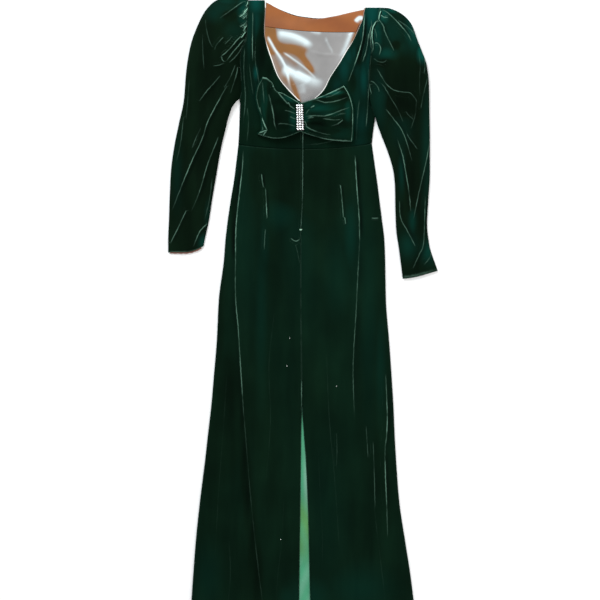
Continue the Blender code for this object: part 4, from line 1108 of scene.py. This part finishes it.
def zip_fastener():
    """The tape, its coil and the bar tack at its foot."""
    heights = np.linspace(ZIP_CENTRE[0, 0] - 2, ZIP_CENTRE[-1, 0] - 12, 120)
    across = np.linspace(-TAPE_HALF, TAPE_HALF, 12)
    x = zip_x(heights)[:, None] + across
    y = np.repeat(heights[:, None], len(across), axis=1)
    z = 3.0 + 0.1 * np.cos(across * 2) + 0 * x
    piece = cloth("woven_zip_tape", (x, y, z), plain_material("woven_zip_tape", "#0A1F16", 0.8), 0.5)
    tie(piece, ["zip_tape"], "velvet", flat=(0.022, 0.32), held="laid", rests_on=["velvet_skirt_back"])
    turns = np.arange(0, COIL_LENGTH / COIL_PITCH, 1 / 7.0)
    coil_y = heights[0] - 4 - turns * COIL_PITCH
    coil_x = zip_x(coil_y) + COIL_HALF * np.cos(turns * 2 * math.pi)
    coil = np.stack((coil_x, coil_y, 4.0 + 0.5 * np.sin(turns * 2 * math.pi)), axis=1)
    nylon = plain_material("nylon_coil", "#10281C", 0.4)
    plain_piece("nylon_zip_coil", [tube(coil, 0.3, 5)], nylon)
    stitches = []
    top = float(skirt_height(np.array([[TACK[0] - 5]]), np.array([[TACK[1]]]))[0, 0])
    for n in range(7):
        level = TACK[1] + 1.3 - n * 0.45
        lean = 0.2 * math.sin(n * 2.1)
        arch = ((-3.2, lean, -0.6), (-2.6, lean, 0.25), (0, 0, 0.45), (2.6, -lean, 0.25), (3.2, -lean, -0.6))
        stitches.append(tube([(TACK[0] + a, level + b, top + c) for a, b, c in arch], 0.26))
    thread = plain_material("polyester_thread", "#9CC9AE", 0.45, {"Sheen Weight": 0.3}, 900.0)
    plain_piece("thread_bar_tack", stitches, thread)


zip_fastener()

# ---------------------------------------------------------------------------------------------------
# Bow. Two loops, each a band of velvet folded back on itself and gathered at the centre under the
# clasp, tacked to the bodice over the point of the V. Pleats fan out from the gathers.

# Each loop from its lower edge to its upper edge.
LEFT_LOOP = np.array([
    # gather height, end x, end y, sag
    (37, -112, 29, 15), (44, -100, 40, 9), (56, -101, 68, 3), (68, -110, 96, 0), (80, -115, 122, 0),
    (92, -111, 148, 1), (107, -99, 169, 5),
])
RIGHT_LOOP = np.array([
    # gather height, end x, end y, sag
    (37, 126, 10, 8), (45, 128, 34, 4), (57, 129, 62, 1), (69, 129, 86, 0), (81, 125, 110, 0),
    (93, 118, 130, 2), (106, 106, 150, 5),
])
LOOP_THICKNESS = np.array([
    # along the loop, thickness
    (0.0, 5.0), (0.08, 6.0), (0.22, 9.0), (0.42, 11.0), (0.64, 10.5), (0.84, 8.5), (1.0, 6.0),
])
BOW_CENTRE = -5.0
BOW_LIFT = 2.2
BAND_WIDTH, BAND_ROWS, BAND_TURN = 90.0, 70, 2.2    # and how far its turned edges drop
PLEAT_EASE = BAND_WIDTH / 14    # how far in from its edges the pleats reach their height

# Creases as in the skirt's list.
LEFT_BOW_CREASES = [
    ([(-107, 98), (-103, 73), (-95, 52), (-88, 37)], 2.4, 5, 0.70),
    ([(-88, 38), (-100, 34), (-113, 30)], 1.8, 4, 0.70),
    ([(-89, 37), (-98, 25), (-94, 22)], 1.6, 4, 0.55),
    ([(-84, 130), (-77, 100), (-72, 73), (-70, 55), (-64, 37)], 2.8, 7, 0.34),
    ([(-90, 150), (-86, 110), (-80, 70)], -2.2, 7, 0.0),
    ([(-68, 140), (-52, 122), (-36, 104), (-30, 98)], 2.6, 6, 0.46),
    ([(-72, 156), (-74, 148), (-66, 144)], 1.8, 4, 0.80),
    ([(-36, 108), (-30, 99), (-16, 90)], 2.0, 4, 0.55),
    ([(-62, 53), (-48, 54), (-34, 52), (-16, 48)], 2.2, 5, 0.30),
    ([(-44, 88), (-30, 84), (-14, 78)], 1.8, 5, 0.16),
    ([(-60, 118), (-44, 98), (-18, 80)], -2.0, 6, 0.0),
    ([(-56, 40), (-36, 42), (-16, 44)], -1.8, 5, 0.0),
    ([(-30, 72), (-22, 68), (-13, 66)], 1.6, 4, 0.24),
    ([(-100, 160), (-98, 130), (-96, 104)], 1.8, 6, 0.16),
]
RIGHT_BOW_CREASES = [
    ([(8, 73), (22, 73), (38, 73), (58, 73), (82, 80), (100, 88), (122, 96)], 2.8, 6, 0.34),
    ([(12, 68), (34, 70), (73, 64), (104, 64)], 2.4, 6, 0.30),
    ([(104, 64), (91, 54), (73, 48)], 1.8, 5, 0.30),
    ([(22, 95), (26, 97), (32, 100)], 1.8, 3.5, 0.70),
    ([(26, 117), (42, 112), (57, 107), (79, 109), (97, 114), (116, 122)], 2.6, 6, 0.28),
    ([(8, 50), (20, 41), (38, 34), (56, 28), (74, 26)], 2.4, 6, 0.28),
    ([(10, 96), (34, 90), (70, 92), (100, 100)], -2.4, 8, 0.0),
    ([(10, 60), (40, 52), (80, 38), (110, 30)], -2.4, 8, 0.0),
    ([(10, 78), (14, 84), (20, 92)], 1.8, 4, 0.24),
    ([(6, 60), (10, 56), (12, 48)], 1.8, 3.5, 0.40),
    ([(60, 120), (80, 126), (100, 138)], 2.0, 5, 0.20),
    ([(64, 60), (90, 76), (112, 80)], 1.8, 6, 0.14),
]
# Painted sheen, and painted shade where below 0, as on the bodice.
LEFT_BOW_PAINTED_SHEEN = [
    (-34, 118, 30, 9, 0.70), (-92, 120, 12, 40, 0.24), (-98, 80, 7, 50, 0.28), (-22, 66, 9, 26, 0.42),
    (-58, 112, 16, 12, -0.60), (-62, 66, 15, 24, -0.55), (-82, 140, 6, 16, -0.50),
    (-84, 70, 4, 36, -0.45),
]
RIGHT_BOW_PAINTED_SHEEN = [
    (44, 94, 36, 10, 0.55), (78, 132, 26, 5, 1.40), (50, 122, 16, 3, 0.9), (116, 90, 8, 30, 0.45),
    (104, 30, 26, 18, 0.14), (70, 78, 30, 5, 0.30), (12, 62, 9, 24, 0.42), (16, 104, 12, 10, 0.40),
    (106, 122, 15, 11, -0.75), (66, 114, 16, 5, -0.50), (38, 54, 32, 9, -0.65), (96, 54, 20, 8, -0.40),
    (60, 36, 30, 6, -0.35),
]

BOW_VELVET = velvet("rayon_velvet_bow", ("#020D07", "#071F12"), "#063E33", 0.14)


def bow_loop(side, outward, loop, creases, painted_sheen_spots, end_wear_and_highlight):
    """A loop: out along its lower side, round the fold at its end, and back over the top."""
    row = np.linspace(0, 1, BAND_ROWS)[:, None]
    gather, end_x, end_y, sag = read(loop, slice(None), row * (len(loop) - 1), by_row=True)
    start_x = BOW_CENTRE + outward * SEAM_GAP / 2
    # the left loop's upper edge is pinched a little way in from its corner
    pinched = np.clip(row * 3.5 - 2.5, 0, 1) * (side == "left")

    def lie(along):
        x = start_x + (end_x - start_x) * along
        y = gather + (end_y - gather) * along - sag * np.sin(math.pi * along)
        corner = np.clip((-70.0 - x) / 6.0, 0, 1) * np.clip((x + 104.0) / 14.0, 0, 1)
        y = y + pinched * (9.0 * corner - 6.0 * np.exp(-(((x + 64.0) / 10.0) ** 2)))
        return x, y, bodice_height(x, np.maximum(y, 0.0)) + BOW_LIFT

    back = 1 - np.linspace(0, 1, 86) ** 1.1
    low_x, low_y, low_z = lie(np.linspace(0, 1, 30))
    top_x, top_y, floor_z = lie(back)
    thickness = read(LOOP_THICKNESS, [1], back)[0]
    rise, distance, wear_and_highlight = creased(top_x, top_y, creases)
    # fine pleats crowd together at the gathers and die away along the loop
    fan = np.sin(2 * math.pi * (5.5 * row + 0.4 * np.sin(5 * row) + 0.15 * np.sin(17 * row)))
    fan = fan * np.exp(-((back - 0.10) / 0.26) ** 2) * 1.3
    # the band's two long edges are turned under
    from_edge = np.minimum(row, 1 - row) * BAND_WIDTH
    top_z = floor_z + thickness + (rise + fan) * (0.35 + 0.65 * np.clip(from_edge / PLEAT_EASE, 0, 1))
    top_z = top_z - BAND_TURN * (1 - rolled(from_edge, 5.0))
    turn = np.linspace(0, math.pi, 12)[1:-1]
    middle, radius = (low_z[:, -1:] + top_z[:, :1]) / 2, (top_z[:, :1] - low_z[:, -1:]) / 2
    fold_x = low_x[:, -1:] + outward * np.sin(turn) * np.minimum(radius, 2.6)
    fold_y = np.repeat(low_y[:, -1:], len(turn), axis=1)
    fold_z = middle - radius * np.cos(turn)
    # pale lines of painted highlight along the band's turned edges, stronger on the upper one, and at its end
    tip = np.abs(top_x - top_x[:, :1])
    edge_wear_and_highlight = 0.42 + 0.3 * (row > 0.5)
    wear_and_highlight, distance = worn_and_highlit_edges(wear_and_highlight, distance, (from_edge, edge_wear_and_highlight, 5.0, 0.8), (tip, end_wear_and_highlight, 5.0, 0.4))
    under = np.ones((len(row), low_x.shape[1] + fold_x.shape[1]))
    # the underside takes an even painted sheen
    marks = {
        "crease": np.concatenate((FAR_OFF * under, distance), axis=1)[:, ::-1],
        "crushed_and_highlit": np.concatenate((0 * under, wear_and_highlight), axis=1)[:, ::-1],
        "painted_sheen": np.concatenate((0.2 * under, painted_sheen_and_shade(top_x, top_y, painted_sheen_spots, 0.02)), axis=1)[:, ::-1],
    }
    parts = ((low_x, fold_x, top_x), (low_y, fold_y, top_y), (low_z, fold_z, top_z))
    places = [np.concatenate(part, axis=1)[:, ::-1] for part in parts]
    piece = cloth("velvet_bow_" + side, places, BOW_VELVET, -VELVET_WALL, marks)
    tie(piece, ["bow_" + side], "velvet",
        flat=(0.25, 0.135), held="gathered", rests_on=["velvet_bodice_front_" + side], area=0.026)


bow_loop("left", -1, LEFT_LOOP, LEFT_BOW_CREASES, LEFT_BOW_PAINTED_SHEEN, 0.22)
bow_loop("right", 1, RIGHT_LOOP, RIGHT_BOW_CREASES, RIGHT_BOW_PAINTED_SHEEN, 0.7)

# ---------------------------------------------------------------------------------------------------
# Clasp. A stamped silver-plated bar with three columns of round foil-backed glass stones, each in its
# own cup, sewn over the gathers.

STONE_ROWS, STONE_COLUMNS = 11, 3
STONE_PITCH = 5.95
STONE_RADIUS = 2.6
CUP = [(2.2, 0.8), (2.6, 1.0), (2.7, 2.3), (2.5, 2.5), (2.4, 2.2)]     # radius and height round its wall
CLASP_LEAN = math.radians(2.0)


def lathe(profile, sides, angle=0.0):
    """Points and faces of a turned shape from its radius and height pairs."""
    turns = (np.arange(sides) + angle) * 2 * math.pi / sides
    rings = [[(radius * math.cos(turn), radius * math.sin(turn), height) for turn in turns]
             for radius, height in profile]
    return stacked(np.array(rings))


def clasp():
    """The bar, its cups and its stones."""
    low, high = (np.array(end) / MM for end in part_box("clasp"))
    centre = (low + high) / 2
    cos, sin = math.cos(CLASP_LEAN), math.sin(CLASP_LEAN)

    def settle(shape, x=0.0, y=0.0):
        across, along, up = (shape[0] + (x, y, 0.0)).T
        leaning = (centre[0] + across * cos - along * sin, centre[1] + across * sin + along * cos)
        return np.stack((*leaning, low[2] + up), axis=1), shape[1]

    chance = np.random.default_rng(7)
    cups, stones, prongs = [], [], []
    for row in range(STONE_ROWS):
        for column in range(STONE_COLUMNS):
            x = (column - (STONE_COLUMNS - 1) / 2) * STONE_PITCH
            y = (row - (STONE_ROWS - 1) / 2) * STONE_PITCH
            cups.append(settle(lathe(CUP, 16), x, y))
            crown = [(STONE_RADIUS, 2.35), (STONE_RADIUS * 0.84, 3.0), (STONE_RADIUS * 0.55, 3.35)]
            stone, faces = lathe([(2.3, 1.3), *crown], 8, chance.random())
            stone[:, 2] += stone[:, :2] @ chance.normal(0, 0.05, 2)
            stones.append(settle((stone, faces), x, y))
            for n in range(4):
                foot = np.array([math.cos(n * math.pi / 2), math.sin(n * math.pi / 2)])
                claw = tube([(*(foot * 2.9), 1.6), (*(foot * 2.95), 2.6), (*(foot * 2.45), 3.0)], 0.3, 5)
                prongs.append(settle(claw, x, y))
    half_x, half_y = STONE_COLUMNS * STONE_PITCH / 2 + 0.3, STONE_ROWS * STONE_PITCH / 2 + 0.3
    outline = [(-half_x, -half_y), (half_x, -half_y), (half_x, half_y), (-half_x, half_y)]
    plate = stacked(np.array([[(x, y, z) for x, y in outline] for z in (0.0, 0.9)]))
    dark = plain_material("oxidised_silver", "#141513", 0.6, {"Metallic": 0.3})
    bright = plain_material("silver_plate", "#DAD8D0", 0.18, {"Metallic": 1.0})
    foil = {"Metallic": 0.85, "Coat Weight": 0.6, "Coat Roughness": 0.02}
    glass = plain_material("foil_backed_glass", "#FBFCFF", 0.04, foil, 40.0, 0.0)
    bar = plain_piece("silver_clasp_bar", [settle(plate)], dark)
    settings = plain_piece("silver_cups", cups + prongs, bright)
    jewels = plain_piece("glass_stones", stones, glass)
    bar.data.shade_flat()
    jewels.data.shade_flat()
    for piece in (bar, settings, jewels):
        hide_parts("clasp")


clasp()

# ---------------------------------------------------------------------------------------------------
# Lint. A few pale cotton fibres, curled and about two millimetres long, caught in the pile of the
# skirt and lying on it.

SPECKS = [(-31, -490, 2.2, 0.4), (-38, -561, 2.8, 1.9), (-54, -1002, 2.4, 2.6), (88, -612, 1.6, 0.9)]


def lint():
    """Curled fibres lying on the pile."""
    fibres = []
    along = np.linspace(-0.5, 0.5, 7)
    for x, y, length, turn in SPECKS:
        top = float(skirt_height(np.array([[x]]), np.array([[y]]))[0, 0]) + 1.8
        bend = 0.35 * np.sin(along * 5 + turn)
        fibre_x = x + length * along * math.cos(turn) - bend * math.sin(turn)
        fibre_y = y + length * along * math.sin(turn) + bend * math.cos(turn)
        fibres.append(tube(np.stack((fibre_x, fibre_y, top + 0.25 * np.cos(along * 6)), axis=1), 0.62))
    plain_piece("cotton_lint", fibres, plain_material("cotton_lint", "#E4EAE4", 0.95))


lint()

# ---------------------------------------------------------------------------------------------------
# The room: a pale matt floor, soft studio light from the head of the gown and a fill from its right,
# and the camera straight above.

VIEW_CENTRE = (-5.0, -393.0)
VIEW_WIDTH = 1530.0
CAMERA_HEIGHT = 4.2

bpy.context.scene.view_settings.view_transform = "Standard"

floor_mesh = bpy.data.meshes.new("floor")
half = 12.0
floor_mesh.from_pydata(
    [(-half, -half, -0.0006), (half, -half, -0.0006), (half, half, -0.0006), (-half, half, -0.0006)],
    [], [(0, 1, 2, 3)],
)
floor = bpy.data.objects.new("floor", floor_mesh)
bpy.context.scene.collection.objects.link(floor)
floor_paint = bpy.data.materials.new("pale_floor")
floor_paint.use_nodes = True
floor_shader = floor_paint.node_tree.nodes["Principled BSDF"]
floor_shader.inputs["Base Color"].default_value = (0.94, 0.94, 0.94, 1)
floor_shader.inputs["Roughness"].default_value = 0.9
floor_mesh.materials.append(floor_paint)


def lamp(name, place, aim, size, power, colour):
    """A soft box, aimed at a point."""
    light = bpy.data.lights.new(name, "AREA")
    light.shape = "RECTANGLE"
    light.size, light.size_y = size
    light.energy = power
    light.color = colour
    box = bpy.data.objects.new(name, light)
    bpy.context.scene.collection.objects.link(box)
    box.location = place
    toward = np.array(aim) - np.array(place)
    toward = toward / np.linalg.norm(toward)
    box.rotation_euler = (math.acos(-toward[2]), 0, math.atan2(toward[1], toward[0]) - math.pi / 2)


lamp("window", (-1.4, 2.4, 1.9), (0.0, 0.0, 0.0), (1.8, 1.4), 95, (0.88, 0.96, 1.0))
lamp("fill", (2.2, -0.8, 2.6), (0.0, -0.4, 0.0), (2.4, 2.4), 40, (1.0, 0.98, 0.95))

world = bpy.data.worlds.new("studio")
world.use_nodes = True
world.node_tree.nodes["Background"].inputs["Color"].default_value = (1, 1, 1, 1)
world.node_tree.nodes["Background"].inputs["Strength"].default_value = 0.72
bpy.context.scene.world = world

camera_data = bpy.data.cameras.new("camera")
camera_data.lens = 36.0 * CAMERA_HEIGHT / (VIEW_WIDTH * MM)
camera_data.clip_end = 40
camera = bpy.data.objects.new("camera", camera_data)
camera.location = (VIEW_CENTRE[0] * MM, VIEW_CENTRE[1] * MM, CAMERA_HEIGHT)
bpy.context.scene.collection.objects.link(camera)
bpy.context.scene.camera = camera

bpy.context.view_layer.update()
